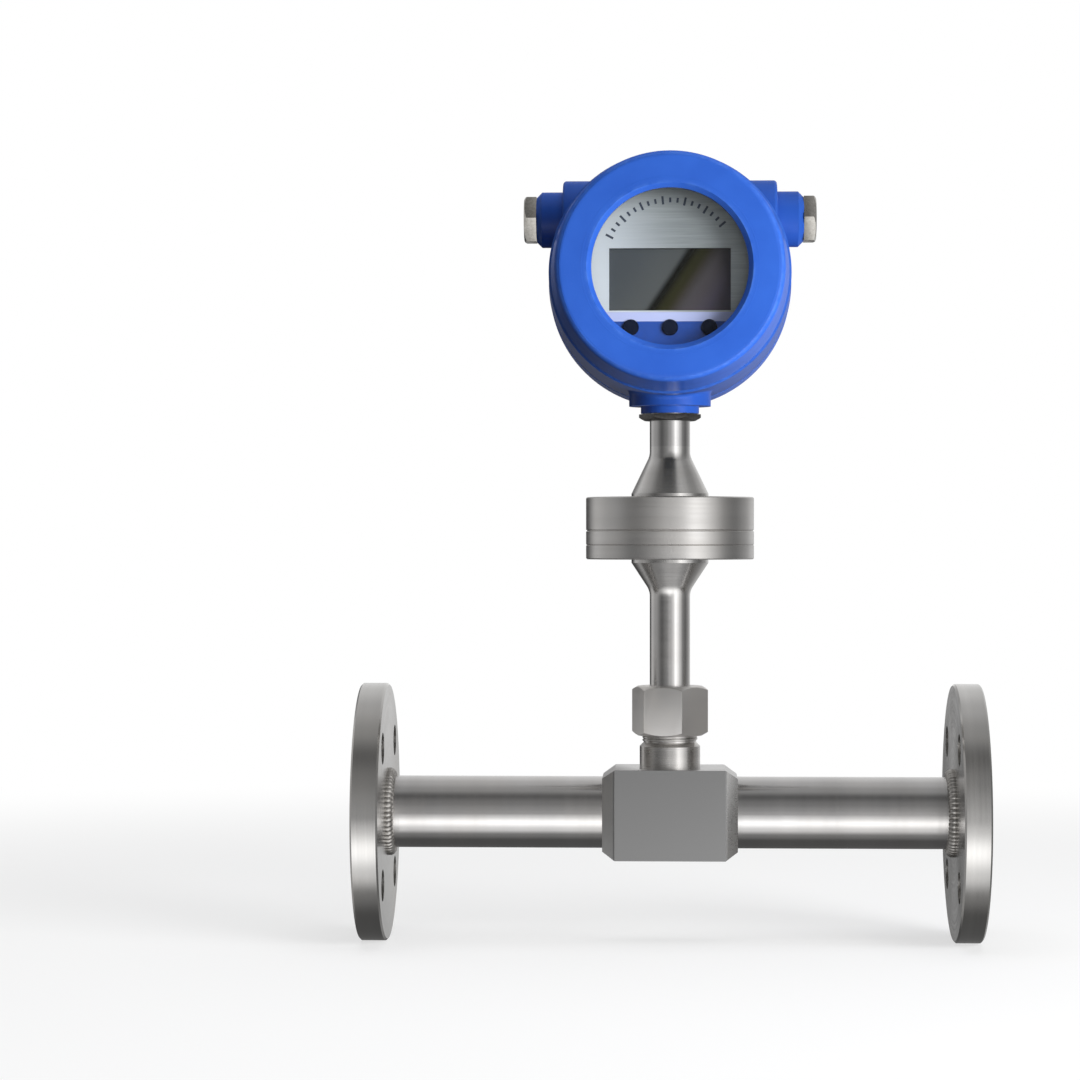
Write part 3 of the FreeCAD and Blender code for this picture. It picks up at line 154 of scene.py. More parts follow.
def radiusOf(tree, vector):
    parts = splitUp(tree, vector)
    across = plus(tree, times(tree, parts[0], parts[0]), times(tree, parts[1], parts[1]))
    return parts, calc(tree, "SQRT", across)


def newTree(name, kind, inputs, outputs):
    # inputs and outputs give the kind of each socket by its label
    tree = bpy.data.node_groups.new(name, kind + "NodeTree")
    for way, sockets in (("INPUT", inputs), ("OUTPUT", outputs)):
        for label, socketKind in sockets.items():
            tree.interface.new_socket(label, in_out=way, socket_type="NodeSocket" + socketKind)
    return tree, tree.nodes.new("NodeGroupInput").outputs, tree.nodes.new("NodeGroupOutput").inputs


def place(tree, group, **inputs):
    node = tree.nodes.new("ShaderNodeGroup")
    node.node_tree = group
    for name, value in inputs.items():
        feed(tree, node.inputs[name], value)
    return node.outputs


# shared surface effects, each one built once

latheLook = dict(roundShare=0.35, detail=4.0, rough=0.65, toneScale=0.13, toneDetail=2.0, toneRough=0.5)


def makeTurnedMarks(look):
    # rings left by a lathe: they change along the axis and with the radius, and hardly round it
    tree, given, result = newTree("turnedMarks", "Shader", dict(Vector="Vector", Rings="Float"),
                                  dict(Height="Float", Tone="Float"))
    parts, radius = radiusOf(tree, given["Vector"])
    turn = calc(tree, "ARCTAN2", parts[1], parts[0])
    spread = put(tree, "ShaderNodeCombineXYZ", {
        "X": times(tree, parts[2], given["Rings"]), "Y": times(tree, radius, given["Rings"]),
        "Z": times(tree, turn, look["roundShare"])}).outputs[0]
    feed(tree, result["Height"], noise(tree, spread, 1.0, look["detail"], look["rough"]))
    feed(tree, result["Tone"], noise(tree, spread, look["toneScale"], look["toneDetail"], look["toneRough"]))
    return tree


touchLook = dict(detail=4.0, rough=0.6, distortion=0.4, cloudFrom=0.38, cloudTo=0.68, specks=22.0,
                 speckEdge=0.12, speckCore=0.02)


def makeHandling(look):
    # cloudy touch marks, and the fine dust that settles with them
    tree, given, result = newTree("handling", "Shader", dict(Vector="Vector", Scale="Float"),
                                  dict(Cloud="Float", Speck="Float"))
    cloud = put(tree, "ShaderNodeTexNoise", {
        "Vector": given["Vector"], "Scale": given["Scale"], "Detail": look["detail"],
        "Roughness": look["rough"], "Distortion": look["distortion"]}).outputs[0]
    feed(tree, result["Cloud"], remap(tree, cloud, look["cloudFrom"], look["cloudTo"], smooth=True))
    grain = put(tree, "ShaderNodeTexVoronoi", {
        "Vector": given["Vector"], "Scale": times(tree, given["Scale"], look["specks"])}).outputs["Distance"]
    feed(tree, result["Speck"], remap(tree, grain, look["speckEdge"], look["speckCore"]))
    return tree


peelLook = dict(detail=1.5, rough=0.5, swellScale=0.09, swellDetail=2.0, swellShare=0.8)


def makeCastPeel(look):
    # the skin of enamel over a casting: a soft orange peel with a few low pits
    tree, given, result = newTree("castPeel", "Shader", dict(Vector="Vector", Scale="Float"),
                                  dict(Height="Float", Tone="Float"))
    peel = noise(tree, given["Vector"], given["Scale"], look["detail"], look["rough"])
    swell = noise(tree, given["Vector"], times(tree, given["Scale"], look["swellScale"]), look["swellDetail"],
                  look["rough"])
    feed(tree, result["Height"], plus(tree, peel, times(tree, swell, look["swellShare"])))
    feed(tree, result["Tone"], swell)
    return tree


def makeScrewThread():
    # a screw thread on the cylinder of the given radius about z, as the height of its ridge
    tree, given, result = newTree("screwThread", "Shader", dict(
        Vector="Vector", Radius="Float", Pitch="Float", Band="Float"), dict(Height="Float"))
    parts, radius = radiusOf(tree, given["Vector"])
    turn = calc(tree, "DIVIDE", calc(tree, "ARCTAN2", parts[1], parts[0]), 2 * math.pi)
    along = plus(tree, calc(tree, "DIVIDE", parts[2], given["Pitch"]), turn)
    ridge = times(tree, calc(tree, "PINGPONG", along, 0.5), 2.0)   # from 0 to 1 and back in each turn
    off = calc(tree, "ABSOLUTE", calc(tree, "SUBTRACT", radius, given["Radius"]))
    feed(tree, result["Height"], times(tree, ridge, calc(tree, "LESS_THAN", off, given["Band"])))
    return tree


rubLook = dict(breakScale=260.0, breakFrom=0.35, breakTo=0.65)


def makeRingRub(look):
    # where hands and cloths rub an edge, and where the paint puts a painted sheen: the ring at one radius and
    # station, broken up
    tree, given, result = newTree("ringRub", "Shader", dict(
        Vector="Vector", Radius="Float", Station="Float", Width="Float"), dict(Mask="Float"))
    parts, radius = radiusOf(tree, given["Vector"])
    outward = calc(tree, "SUBTRACT", radius, given["Radius"])
    along = calc(tree, "SUBTRACT", parts[2], given["Station"])
    far = calc(tree, "SQRT", plus(tree, times(tree, outward, outward), times(tree, along, along)))
    near = calc(tree, "SUBTRACT", 1.0, calc(tree, "DIVIDE", far, given["Width"]), clamp=True)
    breaks = remap(tree, noise(tree, given["Vector"], look["breakScale"]), look["breakFrom"], look["breakTo"])
    feed(tree, result["Mask"], times(tree, near, breaks))
    return tree


turnedMarks = makeTurnedMarks(latheLook)
handling = makeHandling(touchLook)
castPeel = makeCastPeel(peelLook)
screwThread = makeScrewThread()
ringRub = makeRingRub(rubLook)
print("surface effects built")


def newMaterial(name, metallic=0.0, **shaderValues):
    material = bpy.data.materials.new(name)
    material.use_nodes = True
    tree = material.node_tree
    shader = tree.nodes["Principled BSDF"]
    shader.inputs["Metallic"].default_value = metallic
    for label, value in shaderValues.items():
        shader.inputs[label].default_value = value
    objectCoords = put(tree, "ShaderNodeTexCoord").outputs["Object"]
    return material, tree, shader, objectCoords


def makeRamp(tree, value, stops):
    ramp = put(tree, "ShaderNodeValToRGB", {0: value})
    ramp.color_ramp.interpolation = "EASE"
    elements = ramp.color_ramp.elements
    while len(elements) < len(stops):
        elements.new(0.5)
    for element, (position, colour) in zip(elements, sorted(stops.items())):
        element.position = position
        element.color = rgba(colour)
    return ramp.outputs[0]


def bumpInto(tree, shader, height, strength, distance):
    bump = put(tree, "ShaderNodeBump", {"Height": height, "Strength": strength, "Distance": distance})
    feed(tree, shader.inputs["Normal"], bump.outputs[0])


wearLook = dict(low=0.25, high=0.75, smoother=0.05, rougher=0.06, touched=0.05)


def wornRoughness(tree, marks, cloud, rough, look=wearLook):
    # changes with the height of the tool marks, and is duller where it was touched
    grain = remap(tree, marks, look["low"], look["high"], rough - look["smoother"], rough + look["rougher"])
    return plus(tree, grain, times(tree, cloud, look["touched"]))


steelLooks = {
    # rings are counted in a metre; depth is the bump of the tool marks; bore and rim are radii in mm
    "flangeSteel": dict(axis="x", tint=(0.63, 0.62, 0.605), rough=0.19, rings=900, depth=0.13),
    "pipeSteel": dict(axis="x", tint=(0.66, 0.65, 0.645), rough=0.15, rings=420, depth=0.05, bore=15.0),
    "stemSteel": dict(axis="z", tint=(0.66, 0.65, 0.645), rough=0.15, rings=420, depth=0.05),
    "discSteel": dict(axis="z", tint=(0.71, 0.70, 0.69), rough=0.18, rings=1100, depth=0.15, rim=36.5),
    "fittingSteel": dict(axis="z", tint=(0.65, 0.635, 0.62), rough=0.24, rings=800, depth=0.12),
    "nutSteel": dict(axis="z", tint=(0.91, 0.89, 0.87), rough=0.46, rings=300, depth=0.10),
}
turnedFinish = dict(stretch=0.55, stretchTurn=0.25, touchScale=26.0, dull=0.86, warm=(0.97, 0.94, 0.90),
                    warmShare=0.35, rimRough=0.14, boreRough=0.35, boreMetallic=0.55, bumpDepth=0.0002)


def makeSteel(name, axis, tint, rough, rings, depth, bore=None, rim=None):
    # the tool goes round the axis, so gloss spreads across its marks; a bore is pickled matt, a rim is satin
    look = turnedFinish
    material, tree, shader, coords = newMaterial(name, 1.0, **{
        "Anisotropic": look["stretch"], "Anisotropic Rotation": look["stretchTurn"]})
    tangent = put(tree, "ShaderNodeTangent", direction_type="RADIAL", axis=axis.upper())
    feed(tree, shader.inputs["Tangent"], tangent.outputs[0])
    vector = turnTo(tree, coords, axis)
    marks = place(tree, turnedMarks, Vector=vector, Rings=rings)
    cloud = place(tree, handling, Vector=coords, Scale=look["touchScale"])["Cloud"]
    toned = mottled(tree, marks["Tone"], scaled(tint, look["dull"]), tint)
    warm = tuple(share * c for share, c in zip(look["warm"], tint))
    colour = blendColours(tree, times(tree, cloud, look["warmShare"]), toned, rgba(warm))
    feed(tree, shader.inputs["Base Color"], colour)
    roughness = wornRoughness(tree, marks["Height"], cloud, rough)
    if rim:
        onRim = calc(tree, "GREATER_THAN", radiusOf(tree, vector)[1], rim * mm)
        roughness = plus(tree, roughness, times(tree, onRim, look["rimRough"]))
    if bore:
        inBore = calc(tree, "LESS_THAN", radiusOf(tree, vector)[1], bore * mm)
        roughness = plus(tree, roughness, times(tree, inBore, look["boreRough"]))
        feed(tree, shader.inputs["Metallic"], remap(tree, inBore, 0.0, 1.0, 1.0, look["boreMetallic"]))
    feed(tree, shader.inputs["Roughness"], roughness)
    bumpInto(tree, shader, marks["Height"], depth, look["bumpDepth"])
    return material


materials = {name: makeSteel(name, **look) for name, look in steelLooks.items()}

blockLook = dict(tint=(0.58, 0.575, 0.57), dull=0.9, rough=0.28, strokes=900.0, strokeRun=0.02,
                 strokeRough=0.6, passes=72.0, touchScale=30.0, fieldTint=(0.24, 0.24, 0.24), fieldDull=0.92,
                 fieldGrain=2600.0, fieldRough=0.5, fieldMetallic=0.35, fieldFront=-19.4, fieldEdge=0.3,
                 bump=0.05, bumpDepth=0.0002)


def makeBlockSteel(look):
    # milled faces with long fine strokes along the pipe, and a blasted matt field on the front one
    material, tree, shader, coords = newMaterial("blockSteel")
    front = look["fieldFront"]
    field = remap(tree, splitUp(tree, coords)[1], front * mm, (front - look["fieldEdge"]) * mm)
    stretched = mapped(tree, coords, Scale=(look["strokeRun"], 1.0, 1.0))
    strokes = noise(tree, stretched, look["strokes"], rough=look["strokeRough"])
    passes = noise(tree, stretched, look["passes"], detail=1.0)
    blasted = noise(tree, coords, look["fieldGrain"], detail=2.0)
    cloud = place(tree, handling, Vector=coords, Scale=look["touchScale"])["Cloud"]
    milled = mottled(tree, passes, scaled(look["tint"], look["dull"]), look["tint"])
    matt = mottled(tree, blasted, scaled(look["fieldTint"], look["fieldDull"]), look["fieldTint"])
    feed(tree, shader.inputs["Base Color"], blendColours(tree, field, milled, matt))
    feed(tree, shader.inputs["Metallic"], remap(tree, field, 0.0, 1.0, 1.0, look["fieldMetallic"]))
    worn = wornRoughness(tree, strokes, cloud, look["rough"])
    feed(tree, shader.inputs["Roughness"], mixValues(tree, field, worn, look["fieldRough"]))
    bumpInto(tree, shader, mixValues(tree, field, strokes, blasted), look["bump"], look["bumpDepth"])
    return material


materials["blockSteel"] = makeBlockSteel(blockLook)

paintLook = dict(colour=(0.034, 0.128, 0.58), deep=(0.028, 0.108, 0.52), rubbed=(0.10, 0.24, 0.70),
                 bare=(0.62, 0.63, 0.65), grease=(0.10, 0.095, 0.085), dust=(0.55, 0.57, 0.6),
                 peelScale=620.0, touchScale=34.0, rubWidth=1.3, rubShare=0.35, dustShare=0.06,
                 greaseShare=0.8, crestEdge=0.1, landRadius=46.9, smoothest=0.28, roughest=0.42,
                 bareRough=0.06, coat=0.3, coatRough=0.2, peelHeight=0.10, threadHeight=3.0, threadBand=0.3,
                 bump=0.5, bumpDepth=0.0004)
paintPieces = {
    # in mm: bare metal lies inside a radius, from one station to another; rubbed edges with their painted
    # sheen are radius and station, threads radius and pitch, lands first and last station, grooves crest
    # radius, depth and stations
    # the housing's paint is darker than the covers', a painted shade for its bosses
    "housingPaint": dict(shade=0.74, bareRadius=50.4, bareFrom=-200, bareTo=200,
                         rubs=((53.3, -27.0), (55.2, 31.0)), lands=((-31.0, -26.0), (30.0, 35.0)),
                         grooves=((47.5, 1.3, -43.2, -27.2), (50.0, 1.3, 31.2, 46.2))),
    "frontCoverPaint": dict(bareRadius=49.0, bareFrom=-56.2, bareTo=-10,
                            threads=((47.58, 2.0), (38.2, 1.0)),
                            rubs=((48.5, -59.6), (35.8, -60.0), (52.3, -27.8))),
    "rearCoverPaint": dict(bareRadius=54.6, bareFrom=32.4, bareTo=56.2, threads=((50.08, 2.0),),
                           rubs=((54.7, 61.5), (35.7, 62.0), (55.4, 31.8))),
}


def makePaint(name, bareRadius, bareFrom, bareTo, rubs, threads=(), lands=(), grooves=(), shade=1.0):
    # only the coat is glossy, so that flanks seen at a slant keep their colour
    look = paintLook
    material, tree, shader, coords = newMaterial(name, **{
        "Coat Roughness": look["coatRough"], "Specular IOR Level": 0.0})
    vector = turnTo(tree, coords, "y")
    parts, radius = radiusOf(tree, vector)
    along = parts[2]   # this is y of the part
    peel = place(tree, castPeel, Vector=coords, Scale=look["peelScale"])
    touch = place(tree, handling, Vector=coords, Scale=look["touchScale"])
    # a shade below one darkens the paint: on the housing this is painted shade
    colour = mottled(tree, peel["Tone"], scaled(look["deep"], shade), scaled(look["colour"], shade))
    # rubbed edges turn a lighter blue: partly wear, partly a painted edge highlight
    for ringRadius, station in rubs:
        rub = place(tree, ringRub, Vector=vector, Radius=ringRadius * mm, Station=station * mm,
                    Width=look["rubWidth"] * mm)["Mask"]
        colour = blendColours(tree, times(tree, rub, look["rubShare"]), colour, rgba(look["rubbed"]))
    colour = blendColours(tree, times(tree, touch["Speck"], look["dustShare"]), colour, rgba(look["dust"]))
    bare = calc(tree, "LESS_THAN", radius, bareRadius * mm)
    bare = times(tree, bare, between(tree, along, bareFrom * mm, bareTo * mm))
    for first, last in lands:
        # the ring that the O-ring sits on stays painted
        outside = calc(tree, "GREATER_THAN", radius, look["landRadius"] * mm)
        land = times(tree, outside, between(tree, along, first * mm, last * mm))
        bare = times(tree, bare, inverse(tree, land))
    metal = rgba(look["bare"])
    for crest, depth, first, last in grooves:
        # the cut of a thread is darker towards its root
        cut = remap(tree, radius, (crest - look["crestEdge"]) * mm, (crest - depth) * mm)
        cut = times(tree, cut, between(tree, along, first * mm, last * mm))
        metal = blendColours(tree, times(tree, cut, look["greaseShare"]), metal, rgba(look["grease"]))
    feed(tree, shader.inputs["Base Color"], blendColours(tree, bare, colour, metal))
    feed(tree, shader.inputs["Metallic"], bare)
    painted = remap(tree, touch["Cloud"], 0.0, 1.0, look["smoothest"], look["roughest"])
    feed(tree, shader.inputs["Roughness"], plus(tree, painted, times(tree, bare, look["bareRough"])))
    feed(tree, shader.inputs["Coat Weight"], times(tree, inverse(tree, bare), look["coat"]))
    height = times(tree, peel["Height"], look["peelHeight"])
    for threadRadius, pitch in threads:
        ridge = place(tree, screwThread, Vector=vector, Radius=threadRadius * mm, Pitch=pitch * mm,
                      Band=look["threadBand"] * mm)["Height"]
        height = plus(tree, height, times(tree, ridge, look["threadHeight"]))
    bumpInto(tree, shader, height, look["bump"], look["bumpDepth"])
    return material


materials.update({name: makePaint(name, **piece) for name, piece in paintPieces.items()})

faceplateLook = dict(plate=(0.33, 0.35, 0.37), plateLow=(0.86, 0.90, 1.0), strip=(0.56, 0.60, 0.95),
                     stripTop=-18.9, stripFoot=-22.9, field=(0.020, 0.075, 0.38), fieldLight=1.15,
                     fieldGrain=300.0, sweepLean=0.45, sweepFrom=-38.0, sweepTo=14.0, strokes=1500.0,
                     strokeRun=0.03, strokeTone=(0.75, 0.77, 0.8), strokeFrom=0.35, strokeTo=0.65,
                     strokeShare=0.18, metallic=0.35, smoothest=0.32, roughest=0.44, coat=0.2, coatRough=0.2,
                     bump=0.08, bumpDepth=0.0001)


def makeFaceplate(look):
    # printed sheet: brushed silver above, with painted light towards the lower left and painted shade towards
    # the upper right, a pale strip under the display, and the key field below
    material, tree, shader, coords = newMaterial("faceplateSheet", **{
        "Coat Weight": look["coat"], "Coat Roughness": look["coatRough"]})
    local = centredOn(tree, coords, headCentre)
    across, _, up = splitUp(tree, local)
    strokes = noise(tree, mapped(tree, local, Scale=(look["strokeRun"], 1.0, 1.0)), look["strokes"])
    # painted light and shade: the silver goes from light at the lower left to dark at the upper right
    sweep = plus(tree, across, times(tree, up, look["sweepLean"]))
    shaded = remap(tree, sweep, look["sweepFrom"] * mm, look["sweepTo"] * mm, smooth=True)
    plate = blendColours(tree, shaded, rgba(look["plateLow"]), rgba(look["plate"]))
    brushed = remap(tree, strokes, look["strokeFrom"], look["strokeTo"], 0.0, look["strokeShare"])
    plate = blendColours(tree, brushed, plate, rgba(look["strokeTone"]))
    belowPlate = calc(tree, "LESS_THAN", up, look["stripTop"] * mm)
    belowStrip = calc(tree, "LESS_THAN", up, look["stripFoot"] * mm)
    colour = blendColours(tree, belowPlate, plate, rgba(look["strip"]))
    grain = noise(tree, local, look["fieldGrain"])
    field = mottled(tree, grain, look["field"], scaled(look["field"], look["fieldLight"]))
    feed(tree, shader.inputs["Base Color"], blendColours(tree, belowStrip, colour, field))
    onPlate = inverse(tree, belowPlate)
    feed(tree, shader.inputs["Metallic"], times(tree, onPlate, look["metallic"]))
    roughness = remap(tree, strokes, *noiseSpan, look["smoothest"], look["roughest"])
    feed(tree, shader.inputs["Roughness"], roughness)
    bumpInto(tree, shader, times(tree, strokes, onPlate), look["bump"], look["bumpDepth"])
    return material


materials["faceplateSheet"] = makeFaceplate(faceplateLook)

displayLook = dict(
    drop=4.7, half=26.0, lean=0.67, cell=1.1, gap=0.06, cellTone=0.985, gapTone=0.95, specular=0.25,
    grain=60.0, smoothest=0.09, roughest=0.12, tones={
        # place across the film in mm, and the tone there, a painted reflection with painted light on the
        # right
        -26: (0.072, 0.079, 0.090), -3: (0.092, 0.096, 0.100), 0.5: (0.004, 0.004, 0.003),
        6: (0.026, 0.024, 0.008), 16: (0.086, 0.073, 0.084), 26: (0.096, 0.080, 0.112)})


def makeDisplay(look):
    # unlit display film: a painted reflection as tones that change along a slant, over a faint cell grid
    material, tree, shader, coords = newMaterial("displayFilm", **{"Specular IOR Level": look["specular"]})
    local = centredOn(tree, coords, (headCentre[0], 0.0, headCentre[2] - look["drop"] * mm))
    across, _, up = splitUp(tree, local)
    slant = calc(tree, "SUBTRACT", across, times(tree, up, look["lean"]))
    half = look["half"]
    stops = {(at + half) / (2 * half): tone for at, tone in look["tones"].items()}
    film = makeRamp(tree, remap(tree, slant, -half * mm, half * mm), stops)
    cells = put(tree, "ShaderNodeTexBrick", {
        "Vector": mapped(tree, local, Rotation=(quarterTurn, 0.0, 0.0)), "Scale": 1.0,
        "Mortar Size": look["gap"] * mm, "Brick Width": look["cell"] * mm, "Row Height": look["cell"] * mm,
        "Color1": white, "Color2": rgba((look["cellTone"],) * 3), "Mortar": rgba((look["gapTone"],) * 3)},
        offset=0.0)
    colour = blendColours(tree, 1.0, film, cells.outputs[0], mode="MULTIPLY")
    feed(tree, shader.inputs["Base Color"], colour)
    grain = noise(tree, coords, look["grain"])
    roughness = remap(tree, grain, *noiseSpan, look["smoothest"], look["roughest"])
    feed(tree, shader.inputs["Roughness"], roughness)
    return material


materials["displayFilm"] = makeDisplay(displayLook)

glassLook = dict(tint=(0.97, 0.985, 0.98), ior=1.22, touchScale=45.0, haze=0.003)


def makeGlass(look):
    # a coated window mirrors little, so its index is low
    material, tree, shader, coords = newMaterial("windowGlass", **{
        "Transmission Weight": 1.0, "IOR": look["ior"], "Base Color": rgba(look["tint"])})
    cloud = place(tree, handling, Vector=coords, Scale=look["touchScale"])["Cloud"]
    feed(tree, shader.inputs["Roughness"], remap(tree, cloud, 0.0, 1.0, 0.0, look["haze"]))
    # light reaches what lies behind the window, and comes back out of it
    path = put(tree, "ShaderNodeLightPath").outputs
    soft = calc(tree, "MAXIMUM", path["Is Shadow Ray"], path["Is Diffuse Ray"])
    soft = calc(tree, "MAXIMUM", soft, path["Is Glossy Ray"])
    clear = put(tree, "ShaderNodeBsdfTransparent", {"Color": rgba(look["tint"])})
    mixed = put(tree, "ShaderNodeMixShader", {0: soft, 1: shader.outputs[0], 2: clear.outputs[0]})
    feed(tree, tree.nodes["Material Output"].inputs[0], mixed.outputs[0])
    return material


materials["windowGlass"] = makeGlass(glassLook)

plainLooks = {
    # two tones of a grain; bump is its strength, and scale how fine it is
    "weldMetal": dict(light=(0.60, 0.585, 0.56), dark=(0.40, 0.38, 0.36), metallic=1.0, rough=0.36,
                      bump=0.25, scale=700),
    "sensorMetal": dict(light=(0.58, 0.57, 0.55), dark=(0.46, 0.45, 0.43), metallic=1.0, rough=0.28),
    "nickelBrass": dict(light=(0.66, 0.64, 0.60), dark=(0.50, 0.48, 0.44), metallic=1.0, rough=0.27,
                        scale=800),
    "screwSteel": dict(light=(0.50, 0.50, 0.50), dark=(0.34, 0.34, 0.35), metallic=1.0, rough=0.34,
                       bump=0.15),
    "sealRubber": dict(light=(0.022, 0.022, 0.023), dark=(0.012, 0.012, 0.013), rough=0.62, bump=0.2),
    "gasketFibre": dict(light=(0.06, 0.06, 0.058), dark=(0.035, 0.035, 0.034), rough=0.8, bump=0.4,
                        scale=1200),
    "darkAluminium": dict(light=(0.12, 0.12, 0.125), dark=(0.08, 0.08, 0.085), metallic=0.8, rough=0.42),
    "keyPlastic": dict(light=(0.007, 0.011, 0.030), dark=(0.004, 0.007, 0.022), rough=0.5, bump=0.15,
                       scale=1400, specular=0.15),
    "darkNickel": dict(light=(0.105, 0.100, 0.096), dark=(0.060, 0.058, 0.056), metallic=0.9, rough=0.38,
                       bump=0.15, scale=800),
    "switchPlastic": dict(light=(0.05, 0.05, 0.05), dark=(0.03, 0.03, 0.03), rough=0.5, bump=0.15,
                          scale=1200),
    "circuitBoard": dict(light=(0.020, 0.11, 0.045), dark=(0.012, 0.075, 0.03), rough=0.38, bump=0.3,
                         scale=500),
    "brassStandoff": dict(light=(0.72, 0.53, 0.24), dark=(0.56, 0.40, 0.17), metallic=1.0, rough=0.30),
    "spacerPlastic": dict(light=(0.72, 0.72, 0.69), dark=(0.60, 0.60, 0.57), rough=0.5),
    "socketPlastic": dict(light=(0.70, 0.67, 0.58), dark=(0.58, 0.55, 0.47), rough=0.45),
    "terminalPlastic": dict(light=(0.05, 0.20, 0.10), dark=(0.035, 0.15, 0.07), rough=0.46, bump=0.15),
    "leadSleeve": dict(light=(0.60, 0.58, 0.54), dark=(0.45, 0.43, 0.40), rough=0.5, bump=0.2, scale=1500),
    "scalePrint": dict(light=(0.055, 0.065, 0.10), dark=(0.035, 0.042, 0.07), rough=0.5, scale=1500),
}
grainFinish = dict(touchScale=60.0, touchShare=0.4, smoother=0.04, rougher=0.06, bumpDepth=0.0001)


def makeGrained(name, light, dark, rough, metallic=0.0, bump=0.1, scale=900, specular=0.5):
    look = grainFinish
    material, tree, shader, coords = newMaterial(name, metallic, **{"Specular IOR Level": specular})
    grain = noise(tree, coords, scale)
    cloud = place(tree, handling, Vector=coords, Scale=look["touchScale"])["Cloud"]
    middle = tuple((a + b) / 2 for a, b in zip(light, dark))
    touched = times(tree, cloud, look["touchShare"])
    colour = blendColours(tree, touched, mottled(tree, grain, dark, light), rgba(middle))
    feed(tree, shader.inputs["Base Color"], colour)
    roughness = remap(tree, cloud, 0.0, 1.0, rough - look["smoother"], rough + look["rougher"])
    feed(tree, shader.inputs["Roughness"], roughness)
    bumpInto(tree, shader, grain, bump, look["bumpDepth"])
    return material


materials.update({name: makeGrained(name, **look) for name, look in plainLooks.items()})
print("materials built:", len(materials))

nodeFinishes = {
    "flangeSteel": ["inlet_flange", "outlet_flange"],
    "pipeSteel": ["inlet_pipe", "outlet_pipe"],
    "blockSteel": ["sensor_block"],
    "fittingSteel": ["probe_stub", "front_ferrule", "back_ferrule"],
    "darkNickel": ["neck_lock_nut"],
    "nutSteel": ["compression_nut"],
    "stemSteel": ["probe_tube", "neck_tube"],
    "discSteel": ["lower_neck_flange", "upper_neck_flange"],
    "weldMetal": ["flange_welds"],
    "sensorMetal": ["sensor_tip", "heated_sensor_pin", "reference_sensor_pin"],
    "leadSleeve": ["sensor_leads"],
    "sealRubber": ["neck_seal", "left_gland_seal", "right_gland_seal", "front_cover_seal", "rear_cover_seal"],
    "screwSteel": ["neck_flange_screws", "neck_set_screw", "display_screws", "terminal_board_screws",
                   "terminal_screws"],
    "housingPaint": ["housing"],
    "frontCoverPaint": ["front_cover"],
    "rearCoverPaint": ["rear_cover"],
    "circuitBoard": ["main_board", "display_board", "terminal_board"],
    "socketPlastic": ["sensor_socket"],
    "brassStandoff": ["display_standoffs"],
    "spacerPlastic": ["display_spacers"],
    "displayFilm": ["lcd_module"],
    "faceplateSheet": ["faceplate"],
    "switchPlastic": ["key_switches"],
    "keyPlastic": ["left_key", "middle_key", "right_key"],
    "terminalPlastic": ["terminal_block"],
    "nickelBrass": ["left_gland_nut", "right_gland_nut", "left_gland_washer", "right_gland_washer"],
    "gasketFibre": ["window_gasket"],
    "windowGlass": ["window_glass"],
    "darkAluminium": ["glass_retaining_ring"],
}

dressed = set()
for finish, nodeNames in nodeFinishes.items():
    for nodeName in nodeNames:
        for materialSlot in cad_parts[nodeName].material_slots:
            materialSlot.material = materials[finish]
        dressed.add(nodeName)
print("nodes without a finish:", sorted(set(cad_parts) - dressed))

# the painted castings stay out of what the steel mirrors
for nodeName in ("housing", "front_cover", "rear_cover"):
    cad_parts[nodeName].visible_glossy = False


# small helpers for pieces

weldDistance = 0.002   # mm


def addObject(name, data):
    holder = bpy.data.objects.new(name, data)
    scene.collection.objects.link(holder)
    return holder


def weldedCopy(node, name, flat=None):
    # a node's loose triangles joined up, in an object to work on; faces within flat degrees become one
    shape = bmesh.new()
    shape.from_mesh(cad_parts[node].data)
    bmesh.ops.remove_doubles(shape, verts=shape.verts, dist=weldDistance * mm)
    if flat:
        bmesh.ops.dissolve_limit(shape, angle_limit=math.radians(flat), verts=shape.verts, edges=shape.edges)
    mesh = bpy.data.meshes.new(name)
    shape.to_mesh(mesh)
    shape.free()
    return addObject(name, mesh)


def plainMesh(worker):
    # what the worker's modifiers make, as a mesh of its own
    mesh = bpy.data.meshes.new_from_object(worker.evaluated_get(bpy.context.evaluated_depsgraph_get()))
    worker.modifiers.clear()
    bpy.data.objects.remove(worker)
    return mesh


def joinMeshes(name, meshes, smooth=True):
    joined = bmesh.new()
    for mesh in meshes:
        joined.from_mesh(mesh)
        bpy.data.meshes.remove(mesh)
    bmesh.ops.recalc_face_normals(joined, faces=joined.faces)
    for face in joined.faces:
        face.smooth = smooth
        face.material_index = 0
    whole = bpy.data.meshes.new(name)
    joined.to_mesh(whole)
    joined.free()
    return whole


def addPiece(name, mesh, finish, body, node=None):
    mesh.materials.clear()
    mesh.materials.append(materials[finish])
    piece = addObject(name, mesh)
    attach(piece, body)
    if node:
        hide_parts(node)
    print(name, "faces:", len(mesh.polygons))
    return piece


# pieces with flats get the small broken edges that a file leaves
brokenEdges = {
    "softBlock": dict(node="sensor_block", body="flow_tube_body", width=0.7, finish="blockSteel",
                      slot="stainless_steel"),
    "softNut": dict(node="compression_nut", body="flow_tube_body", width=0.4, finish="nutSteel",
                    slot="stainless_steel"),
    "softLockNut": dict(node="neck_lock_nut", body="flow_tube_body", width=0.25, finish="darkNickel",
                        slot="nickel_brass"),
    "softLeftGland": dict(node="left_gland_nut", body="head_body", width=0.3, finish="nickelBrass",
                          slot="nickel_brass"),
    "softRightGland": dict(node="right_gland_nut", body="head_body", width=0.3, finish="nickelBrass",
                           slot="nickel_brass"),
}
edgeLook = dict(flat=0.5, sharp=24.0, segments=3)   # angles in degrees


